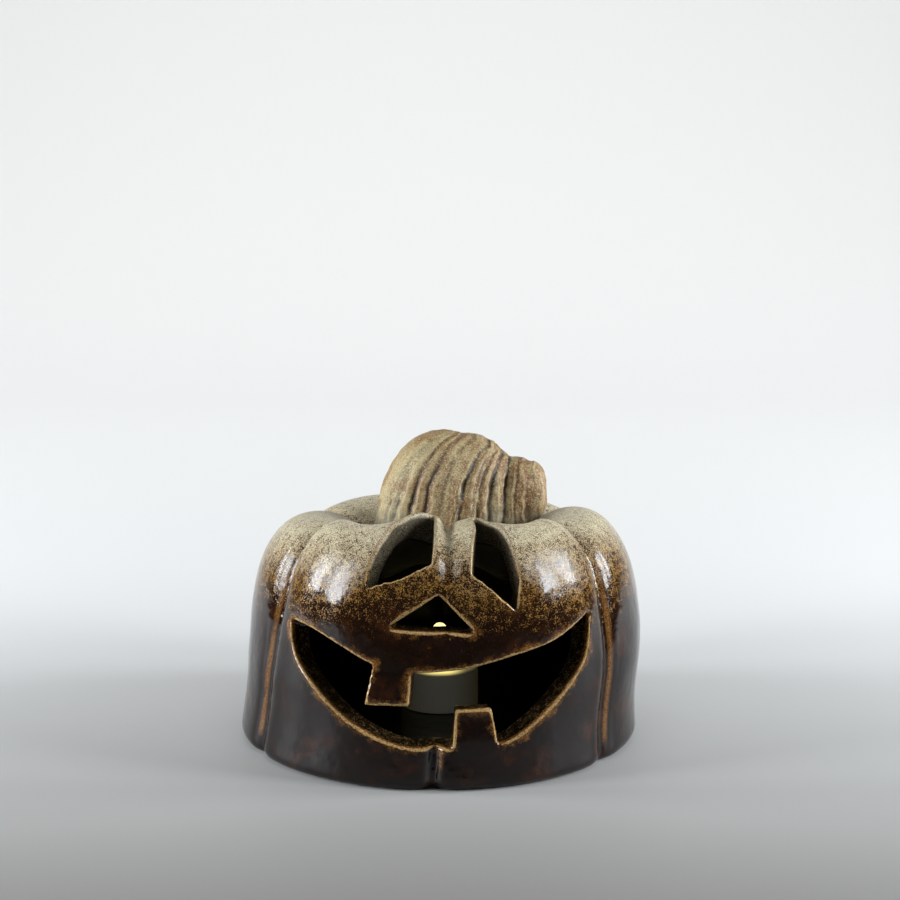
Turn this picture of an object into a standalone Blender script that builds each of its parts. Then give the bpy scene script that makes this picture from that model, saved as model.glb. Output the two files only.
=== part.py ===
"""A hand-built stoneware jack-o'-lantern, with the battery tealight that stands inside it.

The origin is on the surface that the lantern stands on, below the middle of the body. +Z is up and the face
looks along -Y. The body is turned, given its lobes, hollowed, and then cut through for the eyes, nose and mouth.
"""

import math

import bmesh
import bpy
import numpy as np
from mathutils import Matrix, Vector

MM = 0.001
GAP = 0.3 * MM  # left between two pieces that touch

# The body: a turned form, then lobes
BODY_RADIUS = 97.5 * MM  # above the rounded foot
BELLY_RADIUS = 96.3 * MM
FOOT_RADIUS = 5 * MM  # of the rounded bottom edge
WAIST = 1 * MM  # how far the wall draws in between the foot and the belly
BELLY_HEIGHT = 41 * MM  # where the wall ends and the shoulder starts
CREST_RADIUS = 62 * MM  # of the ring along which the top is highest
CREST_HEIGHT = 112 * MM
SEAT_RADIUS = 30 * MM  # of the sunken flat that the stem stands on
SEAT_HEIGHT = 98 * MM
SHOULDER_FULLNESS = 2.4  # 2 is an ellipse, more is squarer
WALL = 11.5 * MM
FLOOR = 10 * MM
INNER_FOOT_RADIUS = 9 * MM

GROOVES_DEG = (-62, 0, 57, 120, 180, 240)  # round from the front, towards +X
TURN_DEG = (-1.8, 1.2)  # how far the whole form is wrung round, at the foot and at the crest
LOBE_DEPTH = (0.6 * MM, 4.6 * MM)  # of the broad hollow between two lobes, at the foot and at the crest
GROOVE_DEPTH = (2.2 * MM, 3.0 * MM)  # of the narrow groove pressed along it
GROOVE_DEG = 3.5
HALF_LOBE_DEG = 30
FRONT_GROOVE = 0.25  # the share of its depth that the front groove keeps on the face
FRONT_FADE = ((22 * MM, 34 * MM), (84 * MM, 102 * MM))
LOBES_DEEPEN = (20 * MM, 100 * MM)  # the heights between which lobes and grooves go from one depth to the other
LOBES_FADE = (8 * MM, 40 * MM)  # the radii between which they rise from nothing, out from the stem
SHOULDER_MIDDLE = 65 * MM  # above this height they are pressed in slantwise, below it straight in
LEAN = (-1.2 * MM, 2.2 * MM)  # how far the body is pushed towards +X, at the foot and from the belly up
LEAN_HEIGHT = 60 * MM
TOP_SHAPING = (50 * MM, 105 * MM)  # the heights between which the next three set in
FACE_RISE = 8 * MM  # how much higher than the middle the crest is at the face, and lower at the back
SIDE_DROP = 1.2 * MM  # how much lower it is at the sides, and higher at the front and back
SWELLINGS = (  # where the top is pulled up or pressed down (x, y), how far, and how wide that is
    (-5, -36, 13.5, 9), (11.5, -35, 8, 9), (-47, -43, 2.5, 9), (48, -43, 3, 9),
    (66, 4, 1.5, 15), (-66, 0, -1, 15), (-29, -42, -8, 8), (31, -42, -9, 8),
    (-16, -44, 4, 6.5), (20, -43, 5, 6.5), (27, -27, -5, 8), (-29, -27, -3, 8),
)
TURNED_STEPS = 72

# The face: the mouth and nose are outlines in degrees round the body and millimetres up it
MOUTH_FAN_HEIGHT = 40 * MM  # the mouth's cut narrows towards this height on the axis
NOSE_FAN_HEIGHT = 78 * MM
MOUTH_CUT = (0.74, 1.15)  # where each cut starts and ends, as shares of the way from its apex to its outline
NOSE_CUT = (0.7, 1.2)
EYE_CUT = (0.45, 1.7)
UPPER_LIP = ((-51, 75.5), (-41, 73.5), (-31, 68), (-20, 60.5), (-8, 57.5), (6, 59), (20, 64), (34, 69.2),
             (48.4, 79.8))
LOWER_LIP = ((-51, 75.5), (-47.4, 58.5), (-37.5, 43.5), (-26, 30), (-12, 21.2), (2, 19.6), (17, 21.3), (27.3, 30.5),
             (36.8, 44), (44.6, 58.5), (48.4, 79.8))
UPPER_TOOTH = ((-8.3, 57.5), (-8.8, 41.2), (-21.4, 40.6), (-19.6, 60.3))
LOWER_TOOTH = ((3.2, 19.7), (4.2, 38.4), (14.7, 38.9), (16.3, 21))
NOSE = ((-16.2, 76.4), (10.5, 74.3), (-0.8, 94))

STRAIGHTEST_DEG = 9  # of a straight cut, before it is divided to follow the round body

# The eyes are outlines on a plane that leans back with the brow: millimetres across it and up it
EYE_PLANE = Vector((0, -70 * MM, 108 * MM))
EYE_PLANE_LEAN_DEG = 45
EYE_FANS = (Vector((-12 * MM, -42 * MM, 45 * MM)), Vector((18 * MM, -42 * MM, 45 * MM)))
LEFT_EYE = ((0.5, 51), (-2.5, 19), (-5, -11.5), (-18, -17), (-35.5, -18), (-33, -11.5), (-23.5, 4), (-19.5, 21),
            (-12, 40))
RIGHT_EYE = ((14.5, 38), (16.5, 10), (14.7, -15.5), (22, -20), (36.5, -28.5), (36, -14), (33, -7), (27.5, 8),
             (23.5, 21), (18.5, 34))

# The stem: stations along X, how low and how high it reaches there, and half its depth
STEM_Y = 9 * MM
STEM = (
    (-32, 97, 100, 3), (-31, 95, 110, 9), (-28.8, 94, 122, 15), (-24.8, 93, 131, 20), (-19, 92, 139.4, 24.5),
    (-12, 91, 145.4, 27), (-4, 91, 148.6, 28), (4, 91, 149, 27.5), (12, 91, 147.6, 26), (20, 92, 146.4, 23.5),
    (26, 93, 143.4, 21), (30, 94, 139.2, 18.5), (34, 96, 136.4, 17), (40, 100, 135.4, 16), (46, 104, 133.6, 14.5),
    (50, 108, 130, 12), (52, 113, 124.5, 6),
)
STEM_FULLNESS = 2.3
STEM_WIDEST = (0.25, 0.5)  # the share of the height where it is deepest: where it stands, and at its free tip
STEM_TIP = (24, 42)  # between these stations it goes from one to the other
STEM_AROUND = 40
STEM_STEPS = 4  # rings between two stations
STEM_FOOT = 100 * MM
# For a fold that starts here at the foot (x): how far it leans over at the ridge, and how high that is
STEM_LEANS = (
    (-40, 44, 49), (-34, 40, 49), (-24, 31, 49), (-16, 25, 48.5), (-9, 20.5, 48),
    (8, 16, 43), (17, 10, 41), (23, 7, 38),
    (30.5, 4, 36), (45, 0, 33), (60, 0, 33),
)
STEM_FOLDS = (-24, -16, -9, 8, 17.5, 23, 30.5, 43)  # where the folds between the ridges start (x)
STEM_FOLD = (1.2 * MM, 2.4)  # how deep such a fold is, and its half width in mm
STEM_RUN_OUT = 0.6  # the share of their depth that folds lose between these heights
STEM_RUN = (122 * MM, 146 * MM)
STEM_HALVINGS = 18  # of the range in which a fold's start is looked for
STEM_SHARP_DEG = 60

# The tealight, measured up from its own foot
TEALIGHT_PLACE = Vector((-0.5 * MM, 9.5 * MM, FLOOR + GAP))
CASE_RADIUS = 19 * MM
CASE_HEIGHT = 22.4 * MM
CASE_WALL = 1.2 * MM
CASE_DISH = 2.8 * MM  # how deep the top is sunk inside its rim
DISH_EDGE = ((4 * MM, 0), (2.6 * MM, 1 * MM), (2.2 * MM, CASE_DISH))  # (in from the side, up from the dish)
CASE_TAPER = 0.3 * MM
RIM_ROUND = (0.7 * MM, 0.8 * MM)
CASE_STEPS = 40
LENS_RADIUS = 4.9 * MM
LENS_TOP = 41.2 * MM
LENS_WALL = 0.9 * MM
LENS_STEPS = 28
LENS_FLANGE = (2 * MM, 1.2 * MM)  # how far its foot reaches out under the casing's top, and how thick that is
FLAME_BULGE = 6 * MM  # how far above the casing's rim the flame is widest
FLAME_FULLNESS = 2.6
LED_RADIUS = 2.5 * MM
LED_FOOT = 15.5 * MM
LED_HEIGHT = 8.6 * MM
LED_COLLAR = (0.4 * MM, 1 * MM)  # how far its foot's collar stands out, and its height
LED_STEPS = 20
LEAD_SIDE = 0.5 * MM
LEAD_PITCH = 2.54 * MM
PLATE = 1.5 * MM
CELL_RADIUS = 10 * MM
CELL_HEIGHT = 3.2 * MM
CELL_FOOT = 3.1 * MM
CELL_Y = -3.5 * MM  # the cell and its cover sit off the middle, to leave room for the switch
CELL_SHEET = 0.3 * MM  # the thickness of its can
CELL_SLACK = 0.1 * MM  # between its can, gasket and cap
CELL_STEPS = 36
WELL_WALL = 1 * MM
COVER_RADIUS = 10.7 * MM
COVER_TWIST_DEG = 40  # from shut to where its tabs meet the plate's notches
COVER_TAB = 1.6 * MM
BOSS_SLACK = 0.5 * MM  # how much smaller than the cell the cover's inner boss is
TAB_WIDTH = 4.4 * MM
TAB_THICK = 0.9 * MM
COIN_SLOT = Vector((13 * MM, 1.6 * MM, 0.8 * MM))
SWITCH_Y = 12.8 * MM
SWITCH_TRAVEL = 3 * MM
SWITCH_SLOT = Vector((7 * MM, 3.4 * MM, 4 * MM))
SWITCH_KNOB = Vector((3.4 * MM, 2.8 * MM, 1.6 * MM))
SWITCH_FLANGE = Vector((6.4 * MM, 4.4 * MM, 0.8 * MM))
KNOB_RECESS = 0.4 * MM
KNOB_NOTCH = (0.4 * MM, 0.6 * MM)  # the width and height of the cuts that a fingernail pushes on
KNOB_PITCH = 1 * MM
STRIP_WIDTH = 3 * MM
STRIP_THICK = 0.4 * MM
STRIP_Y = -1.2 * MM
STRIP_HEIGHT = 7.4 * MM  # of the middle of the strips' sheet, under the leads
POSITIVE_PATH = ((0.4, 7.4), (10, 7.4), (10.6, 6.8), (10.6, 4.9))  # (x, height) along each strip
NEGATIVE_PATH = ((-0.5, 7.4), (-4, 7.4), (-5.4, 6.8), (-7.4, 6.8))


# ---------------------------------------------------------------- scene and materials

def clear_scene():
    for obj in list(bpy.data.objects):
        bpy.data.objects.remove(obj, do_unlink=True)


def new_collection(name):
    collection = bpy.data.collections.new(name)
    bpy.context.scene.collection.children.link(collection)
    return collection


def material(name, colour, roughness, metallic=0.0):
    made = bpy.data.materials.new(name)
    made.use_nodes = True
    shader = made.node_tree.nodes["Principled BSDF"]
    shader.inputs["Base Color"].default_value = (*colour, 1)
    shader.inputs["Roughness"].default_value = roughness
    shader.inputs["Metallic"].default_value = metallic
    return made


# ---------------------------------------------------------------- general tools

def smooth_step(start, end, value):
    share = np.clip((value - start) / (end - start), 0, 1)
    return share * share * (3 - 2 * share)


def between(ends, share):
    return ends[0] + (ends[1] - ends[0]) * share


def through(points, steps):
    """A smooth curve through the points, with this many steps between each pair."""
    points = [np.array(p, float) for p in points]
    ends = [2 * points[0] - points[1], *points, 2 * points[-1] - points[-2]]
    curve = []
    for before, here, there, after in zip(ends, ends[1:], ends[2:], ends[3:]):
        for step in range(steps):
            t = step / steps
            curve.append(0.5 * (2 * here + (there - before) * t
                                + (2 * before - 5 * here + 4 * there - after) * t ** 2
                                + (3 * here - before - 3 * there + after) * t ** 3))
    return [*curve, points[-1]]


def add_mesh(name, mesh, collection, look=None):
    obj = bpy.data.objects.new(name, mesh)
    collection.objects.link(obj)
    if look:
        mesh.materials.clear()
        mesh.materials.append(look)
    return obj


def mesh_from(points, edges=(), faces=()):
    mesh = bpy.data.meshes.new("shape")
    mesh.from_pydata([tuple(p) for p in points], list(edges), list(faces))
    return mesh


def evaluated_mesh(obj):
    """The object's own mesh with its modifiers applied; the object itself is removed."""
    bpy.context.view_layer.update()
    graph = bpy.context.evaluated_depsgraph_get()
    mesh = bpy.data.meshes.new_from_object(obj.evaluated_get(graph))
    mesh.transform(obj.matrix_world)
    bpy.data.objects.remove(obj, do_unlink=True)
    return mesh


def edit_mesh(mesh, action):
    cage = bmesh.new()
    cage.from_mesh(mesh)
    action(cage)
    cage.to_mesh(mesh)
    cage.free()


def face_outwards(cage):
    bmesh.ops.recalc_face_normals(cage, faces=cage.faces)


def turned_mesh(profile, steps):
    """A closed solid turned about Z from an outline (radius, height), listed from its top to its foot."""
    points = [(radius, 0, height) for radius, height in profile]
    obj = add_mesh("turned", mesh_from(points, [(i, i + 1) for i in range(len(points) - 1)]),
                   bpy.context.scene.collection)
    screw = obj.modifiers.new("turn", "SCREW")
    screw.axis = "Z"
    screw.steps = steps
    screw.render_steps = steps
    screw.use_merge_vertices = True
    screw.merge_threshold = 0.00001
    mesh = evaluated_mesh(obj)
    edit_mesh(mesh, face_outwards)
    return mesh


def ring_mesh(profile, steps):
    """A closed ring turned about Z, from an outline (radius, height) that closes on itself."""
    return turned_mesh([*profile, profile[0]], steps)


def box_mesh(size, centre):
    mesh = bpy.data.meshes.new("box")
    cage = bmesh.new()
    bmesh.ops.create_cube(cage, size=1, matrix=Matrix.Translation(centre) @ Matrix.Diagonal((*size, 1)))
    cage.to_mesh(mesh)
    cage.free()
    return mesh


def cylinder_mesh(radius, foot, top, steps):
    return turned_mesh([(0, top), (radius, top), (radius, foot), (0, foot)], steps)


def boolean(obj, tool, operation="DIFFERENCE"):
    """Cuts or joins the object by the tool mesh, which moves with it and is kept in the cutters' collection."""
    cutter = add_mesh(f"{obj.name}_tool", tool, bpy.data.collections["cutters"])
    cutter.parent = obj
    cutter.hide_render = True
    cutter.display_type = "WIRE"
    modifier = obj.modifiers.new(operation.lower(), "BOOLEAN")
    modifier.operation = operation
    modifier.solver = "EXACT"
    modifier.object = cutter


def shade(obj, angle_deg=35):
    obj.data.shade_smooth()
    obj.data.set_sharp_from_angle(angle=math.radians(angle_deg))


# ---------------------------------------------------------------- the pumpkin's body

def arc(centre, radii, start_deg, end_deg, steps, fullness=2.0):
    """Points of a quarter-like arc in (radius, height); fullness above 2 squares it."""
    points = []
    for step in range(steps + 1):
        angle = math.radians(start_deg + (end_deg - start_deg) * step / steps)
        across = math.copysign(abs(math.cos(angle)) ** (2 / fullness), math.cos(angle))
        up = math.copysign(abs(math.sin(angle)) ** (2 / fullness), math.sin(angle))
        points.append((centre[0] + radii[0] * across, centre[1] + radii[1] * up))
    return points


def body_profile(inset, foot, foot_radius, rows):
    """The body's half outline from the middle of the top to the middle of the foot, inset by the wall."""
    crest = CREST_HEIGHT - inset
    seat = SEAT_HEIGHT - inset
    side = BODY_RADIUS - inset
    belly = BELLY_RADIUS - inset
    top = [(0, seat)]
    for step in range(rows):
        share = step / rows
        height = crest + (seat - crest) * (0.5 + 0.5 * math.cos(math.pi * share))
        top.append((SEAT_RADIUS + (CREST_RADIUS - SEAT_RADIUS) * share, height))
    shoulder = arc((CREST_RADIUS, BELLY_HEIGHT), (belly - CREST_RADIUS, crest - BELLY_HEIGHT), 90, 0, 2 * rows,
                   SHOULDER_FULLNESS)
    wall = []
    for step in range(1, rows):
        share = step / rows
        height = BELLY_HEIGHT + (foot + foot_radius - BELLY_HEIGHT) * share
        wall.append((belly + (side - belly) * share - WAIST * math.sin(math.pi * share), height))
    corner = arc((side - foot_radius, foot + foot_radius), (foot_radius, foot_radius), 0, -90, 3)
    return [*top, *shoulder, *wall, *corner, (0, foot)]


def lobe_depth(azimuth, height, radius):
    """How far the surface sinks between the lobes at a place on the body."""
    grooves = np.array(GROOVES_DEG, float)
    nearest = np.abs((azimuth[:, None] - grooves + 180) % 360 - 180).min(axis=1)
    rise = smooth_step(*LOBES_DEEPEN, height)
    broad = (1 - np.clip(nearest / HALF_LOBE_DEG, 0, 1)) ** 2 * between(LOBE_DEPTH, rise)
    kept = 1 - smooth_step(*FRONT_FADE[0], height) * (1 - smooth_step(*FRONT_FADE[1], height))
    kept = np.where(np.abs(azimuth) < HALF_LOBE_DEG, between((FRONT_GROOVE, 1), kept), 1)
    narrow = np.exp(-(nearest / GROOVE_DEG) ** 2) * between(GROOVE_DEPTH, rise) * kept
    return (broad + narrow) * smooth_step(*LOBES_FADE, radius)


def give_lobes(mesh):
    """Presses the grooves into a turned mesh, wrings and leans it, lifts its face side and swells its brows."""
    x, y, z = np.array([v.co for v in mesh.vertices]).T
    radius = np.hypot(x, y)
    azimuth = np.degrees(np.arctan2(x, -y))
    depth = lobe_depth(azimuth, z, radius)
    out = np.maximum(radius - CREST_RADIUS, 0)
    up = np.maximum(z - SHOULDER_MIDDLE, 0)
    length = np.maximum(np.hypot(out, up), 1e-9)
    on_top = radius <= CREST_RADIUS
    outward = np.where(up > 0, out / length, np.where(on_top, 0, 1))
    upward = np.where(up > 0, np.where(on_top, 1, up / length), 0)
    radius = radius - depth * outward
    azimuth = np.radians(azimuth + between(TURN_DEG, smooth_step(0, CREST_HEIGHT, z)))
    z = z - depth * upward
    x = radius * np.sin(azimuth) + between(LEAN, smooth_step(0, LEAN_HEIGHT, z))
    y = -radius * np.cos(azimuth)
    high = smooth_step(*TOP_SHAPING, z)
    rise = FACE_RISE * np.cos(azimuth) + SIDE_DROP * np.cos(2 * azimuth)
    z = z + rise * high * smooth_step(0, CREST_RADIUS, radius)
    for middle_x, middle_y, rise, spread in SWELLINGS:
        away = np.hypot(x / MM - middle_x, y / MM - middle_y) / spread
        z = z + rise * MM * np.exp(-0.5 * away ** 2) * high
    for vertex, place in zip(mesh.vertices, zip(x, y, z)):
        vertex.co = place


def outer_form():
    mesh = turned_mesh(body_profile(0, 0, FOOT_RADIUS, 6), TURNED_STEPS)
    give_lobes(mesh)
    return mesh


def inner_form():
    mesh = turned_mesh(body_profile(WALL, FLOOR, INNER_FOOT_RADIUS, 4), TURNED_STEPS // 2)
    give_lobes(mesh)
    return mesh


# ---------------------------------------------------------------- the face

def fan_cutter(outline, apex, reach):
    """A solid that fans out from an apex through a closed outline of points, between two shares of the way to it."""
    count = len(outline)
    points = [apex + (p - apex) * share for share in reach for p in outline]
    sides = [(i, (i + 1) % count, count + (i + 1) % count, count + i) for i in range(count)]
    mesh = mesh_from(points, faces=[*sides, tuple(range(count)), tuple(range(count, 2 * count))])

    def finish(cage):
        bmesh.ops.triangulate(cage, faces=cage.faces)
        face_outwards(cage)

    edit_mesh(mesh, finish)
    return mesh


def round_body(azimuth_deg, height_mm):
    """A place on the body's wall, from degrees round it and millimetres up it."""
    angle = math.radians(azimuth_deg)
    return Vector((BODY_RADIUS * math.sin(angle), -BODY_RADIUS * math.cos(angle), height_mm * MM))


def finer(outline):
    """The outline with its long straight stretches divided, so that they follow the round body."""
    points = []
    for here, there in zip(outline, [*outline[1:], outline[0]]):
        here, there = np.array(here, float), np.array(there, float)
        count = max(1, math.ceil(abs(there[0] - here[0]) / STRAIGHTEST_DEG))
        points += [here + (there - here) * step / count for step in range(count)]
    return points


def mouth_outline():
    """Along the lower lip from one corner to the other, round its tooth, and back along the upper lip."""
    lower = through(LOWER_LIP, 3)
    upper = through(UPPER_LIP, 2)[::-1]
    left, right = LOWER_TOOTH[0][0], LOWER_TOOTH[-1][0]
    low = [p for p in lower if p[0] < left - 1] + list(LOWER_TOOTH) + [p for p in lower if p[0] > right + 1]
    left, right = UPPER_TOOTH[-1][0], UPPER_TOOTH[0][0]
    high = [p for p in upper[1:-1] if p[0] > right + 1] + list(UPPER_TOOTH)
    return low + high + [p for p in upper[1:-1] if p[0] < left - 1]


def eye_outline(points):
    lean = math.radians(EYE_PLANE_LEAN_DEG)
    up_plane = Vector((0, math.cos(lean), math.sin(lean)))
    return [EYE_PLANE + Vector((x * MM, 0, 0)) + up_plane * (y * MM) for x, y in points]


def face_cutters():
    mouth = [round_body(*p) for p in mouth_outline()]
    nose = [round_body(*p) for p in finer(NOSE)]
    yield fan_cutter(mouth, Vector((0, 0, MOUTH_FAN_HEIGHT)), MOUTH_CUT)
    yield fan_cutter(nose, Vector((0, 0, NOSE_FAN_HEIGHT)), NOSE_CUT)
    for points, apex in zip((LEFT_EYE, RIGHT_EYE), EYE_FANS):
        yield fan_cutter(eye_outline(points), apex, EYE_CUT)


def make_shell(collection, look):
    shell = add_mesh("pumpkin_shell", outer_form(), collection, look)
    boolean(shell, inner_form())
    for cutter in face_cutters():
        boolean(shell, cutter)
    shade(shell)


# ---------------------------------------------------------------- the stem

def stem_stripe(x, z):
    """The place along X, in mm, where the fold through each point would start at the stem's foot."""
    starts, leans, ridges = np.array(STEM_LEANS, float).T
    low, high = np.full(len(x), starts[0]), np.full(len(x), starts[-1])
    for _ in range(STEM_HALVINGS):
        middle = (low + high) / 2
        rise = np.clip((z - STEM_FOOT) / MM / np.interp(middle, starts, ridges), 0, 1)
        reached = middle + np.interp(middle, starts, leans) * (1 - np.sqrt(1 - rise ** 2))
        too_far = reached > x / MM
        high = np.where(too_far, middle, high)
        low = np.where(too_far, low, middle)
    return (low + high) / 2


def stem_rings():
    """Arched sections one after another along X, as an array of rings of points."""
    x, low, high, depth = np.array(through(STEM, STEM_STEPS)).T
    widest = low + (high - low) * between(STEM_WIDEST, smooth_step(*STEM_TIP, x))
    angle = np.arange(STEM_AROUND) * 2 * math.pi / STEM_AROUND
    across = np.copysign(np.abs(np.cos(angle)) ** (2 / STEM_FULLNESS), np.cos(angle))
    up = np.copysign(np.abs(np.sin(angle)) ** (2 / STEM_FULLNESS), np.sin(angle))
    reach = np.where(up > 0, (high - widest)[:, None], (widest - low)[:, None])
    return np.stack([np.repeat(x[:, None], STEM_AROUND, 1), STEM_Y / MM + depth[:, None] * across,
                     widest[:, None] + reach * up], 2) * MM


def press_folds(mesh):
    """Sinks the folds into the stem along its surface's normals; they run out towards the ridge."""
    points = np.array([v.co for v in mesh.vertices])
    outward = np.array([v.normal for v in mesh.vertices])
    stripe = stem_stripe(points[:, 0], points[:, 2])
    nearest = np.abs(stripe[:, None] - np.array(STEM_FOLDS)).min(axis=1)
    depth = STEM_FOLD[0] * np.exp(-(nearest / STEM_FOLD[1]) ** 2)
    depth = depth * (1 - STEM_RUN_OUT * smooth_step(*STEM_RUN, points[:, 2]))
    for vertex, place in zip(mesh.vertices, points - outward * depth[:, None]):
        vertex.co = place


def loft(rings):
    """A closed solid through rings that all have the same number of points."""
    count = len(rings[0])
    faces = []
    for row in range(len(rings) - 1):
        for i in range(count):
            here, there = row * count + i, row * count + (i + 1) % count
            faces.append((here, there, there + count, here + count))
    last = (len(rings) - 1) * count
    faces += [tuple(range(count)), tuple(range(last, last + count))]
    mesh = mesh_from([p for ring in rings for p in ring], faces=faces)
    edit_mesh(mesh, face_outwards)
    return mesh


def make_stem(collection, look):
    mesh = loft(stem_rings())
    press_folds(mesh)
    stem = add_mesh("twisted_stem", mesh, collection, look)
    body = outer_form()
    body.transform(Matrix.Translation((0, 0, 2 * GAP)))
    boolean(stem, body)
    shade(stem, STEM_SHARP_DEG)


# ---------------------------------------------------------------- the tealight

def make_casing(collection, look):
    rim, dish = CASE_HEIGHT, CASE_HEIGHT - CASE_DISH
    hole = LENS_RADIUS + GAP
    outline = [
        (hole, dish), *((CASE_RADIUS - across, dish + up) for across, up in DISH_EDGE),
        *arc((CASE_RADIUS - CASE_TAPER - RIM_ROUND[0], rim - RIM_ROUND[1]), RIM_ROUND, 90, 0, 3),
        (CASE_RADIUS, 0), (CASE_RADIUS - CASE_WALL, 0), (CASE_RADIUS - CASE_WALL, dish - CASE_WALL),
        (hole, dish - CASE_WALL),
    ]
    casing = add_mesh("tealight_casing", ring_mesh(outline, CASE_STEPS), collection, look)
    casing.location = TEALIGHT_PLACE
    shade(casing)


def flame_profile(inset):
    """The flame's outline from its tip down to its straight neck."""
    foot = CASE_HEIGHT - CASE_DISH - CASE_WALL - GAP
    bulge = CASE_HEIGHT + FLAME_BULGE
    radius = LENS_RADIUS - inset
    tip = arc((0, bulge), (radius, LENS_TOP - inset - bulge), 90, 0, 8, FLAME_FULLNESS)
    return [*tip, (radius, foot)]


def make_lens(collection, look):
    foot = CASE_HEIGHT - CASE_DISH - CASE_WALL - GAP
    flange = LENS_RADIUS + LENS_FLANGE[0]
    under = foot - LENS_FLANGE[1]
    outer = flame_profile(0)
    inner = flame_profile(LENS_WALL)
    outline = [*outer, (flange, foot), (flange, under), (inner[-1][0], under), *inner[-2::-1]]
    lens = add_mesh("flame_lens", turned_mesh(outline, LENS_STEPS), collection, look)
    lens.location = TEALIGHT_PLACE
    shade(lens)


def make_led(collection, looks):
    top = LED_FOOT + LED_HEIGHT
    dome = arc((0, top - LED_RADIUS), (LED_RADIUS, LED_RADIUS), 90, 0, 5)
    collar = LED_RADIUS + LED_COLLAR[0]
    step = LED_FOOT + LED_COLLAR[1]
    outline = [*dome, (LED_RADIUS, step), (collar, step), (collar, LED_FOOT), (0, LED_FOOT)]
    led = add_mesh("led_emitter", turned_mesh(outline, LED_STEPS), collection, looks["epoxy"])
    led.location = TEALIGHT_PLACE
    shade(led)
    foot = STRIP_HEIGHT + STRIP_THICK / 2 + GAP
    top = LED_FOOT - GAP
    for name, side in (("led_anode_lead", 1), ("led_cathode_lead", -1)):
        centre = (side * LEAD_PITCH / 2, 0, (foot + top) / 2)
        lead = add_mesh(name, box_mesh((LEAD_SIDE, LEAD_SIDE, top - foot), centre), collection, looks["steel"])
        lead.location = TEALIGHT_PLACE


def about_cell(turn_deg):
    middle = Matrix.Translation((0, CELL_Y, 0))
    return middle @ Matrix.Rotation(math.radians(turn_deg), 4, "Z") @ middle.inverted()


def make_base_plate(collection, look):
    """The plate that closes the casing, with the well that holds the cell standing on it."""
    disc = cylinder_mesh(CASE_RADIUS - CASE_WALL - GAP, 0, PLATE, CASE_STEPS)
    plate = add_mesh("base_plate", disc, collection, look)
    to_cell = Matrix.Translation((0, CELL_Y, 0))
    well = CELL_RADIUS + GAP
    tab_reach = COVER_RADIUS + COVER_TAB
    housing = turned_mesh([
        (0, CELL_FOOT + CELL_HEIGHT), (well + WELL_WALL, CELL_FOOT + CELL_HEIGHT),
        (well + WELL_WALL, CELL_FOOT + WELL_WALL), (tab_reach + WELL_WALL, CELL_FOOT + WELL_WALL),
        (tab_reach + WELL_WALL, PLATE / 2), (0, PLATE / 2)], CELL_STEPS)
    housing.transform(to_cell)
    boolean(plate, housing, "UNION")
    ledge = COVER_RADIUS + GAP
    room = turned_mesh([(0, 2 * CASE_HEIGHT), (well, 2 * CASE_HEIGHT), (well, CELL_FOOT), (tab_reach, CELL_FOOT),
                        (tab_reach, PLATE), (ledge, PLATE), (ledge, -PLATE), (0, -PLATE)], CELL_STEPS)
    room.transform(to_cell)
    boolean(plate, room)
    for side in (-1, 1):
        notch = box_mesh((2 * COVER_TAB - GAP, TAB_WIDTH + 2 * GAP, 2 * PLATE + GAP),
                         (side * COVER_RADIUS, CELL_Y, 0))
        notch.transform(about_cell(COVER_TWIST_DEG))
        boolean(plate, notch)
    strip_room = (2 * WELL_WALL, STRIP_WIDTH + 2 * GAP, CELL_HEIGHT)
    boolean(plate, box_mesh(strip_room, (well + WELL_WALL / 2, STRIP_Y, CELL_FOOT + CELL_HEIGHT)))
    boolean(plate, box_mesh(SWITCH_SLOT, (SWITCH_TRAVEL / 2, SWITCH_Y, 0)))
    plate.location = TEALIGHT_PLACE
    shade(plate)


def make_battery_cover(collection, look):
    """The round cover under the cell: two tabs turn in over the plate, and a coin turns it."""
    boss_radius = CELL_RADIUS - BOSS_SLACK
    boss_top = CELL_FOOT - GAP
    outline = [(0, boss_top), (boss_radius, boss_top), (boss_radius, PLATE), (COVER_RADIUS, PLATE),
               (COVER_RADIUS, 0), (0, 0)]
    cover = add_mesh("battery_cover", turned_mesh(outline, CELL_STEPS), collection, look)
    reach = COVER_RADIUS + COVER_TAB - GAP
    tab_size = (2 * reach, TAB_WIDTH, TAB_THICK)
    tabs = add_mesh("tabs", box_mesh(tab_size, (0, 0, PLATE + GAP + TAB_THICK / 2)), collection)
    boolean(tabs, ring_mesh([(reach, CELL_FOOT), (2 * reach, CELL_FOOT), (2 * reach, 0), (reach, 0)], CELL_STEPS))
    boolean(cover, evaluated_mesh(tabs), "UNION")
    boolean(cover, box_mesh((COIN_SLOT.x, COIN_SLOT.y, 2 * COIN_SLOT.z), (0, 0, 0)))
    cover.location = TEALIGHT_PLACE + Vector((0, CELL_Y, 0))
    shade(cover)


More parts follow.
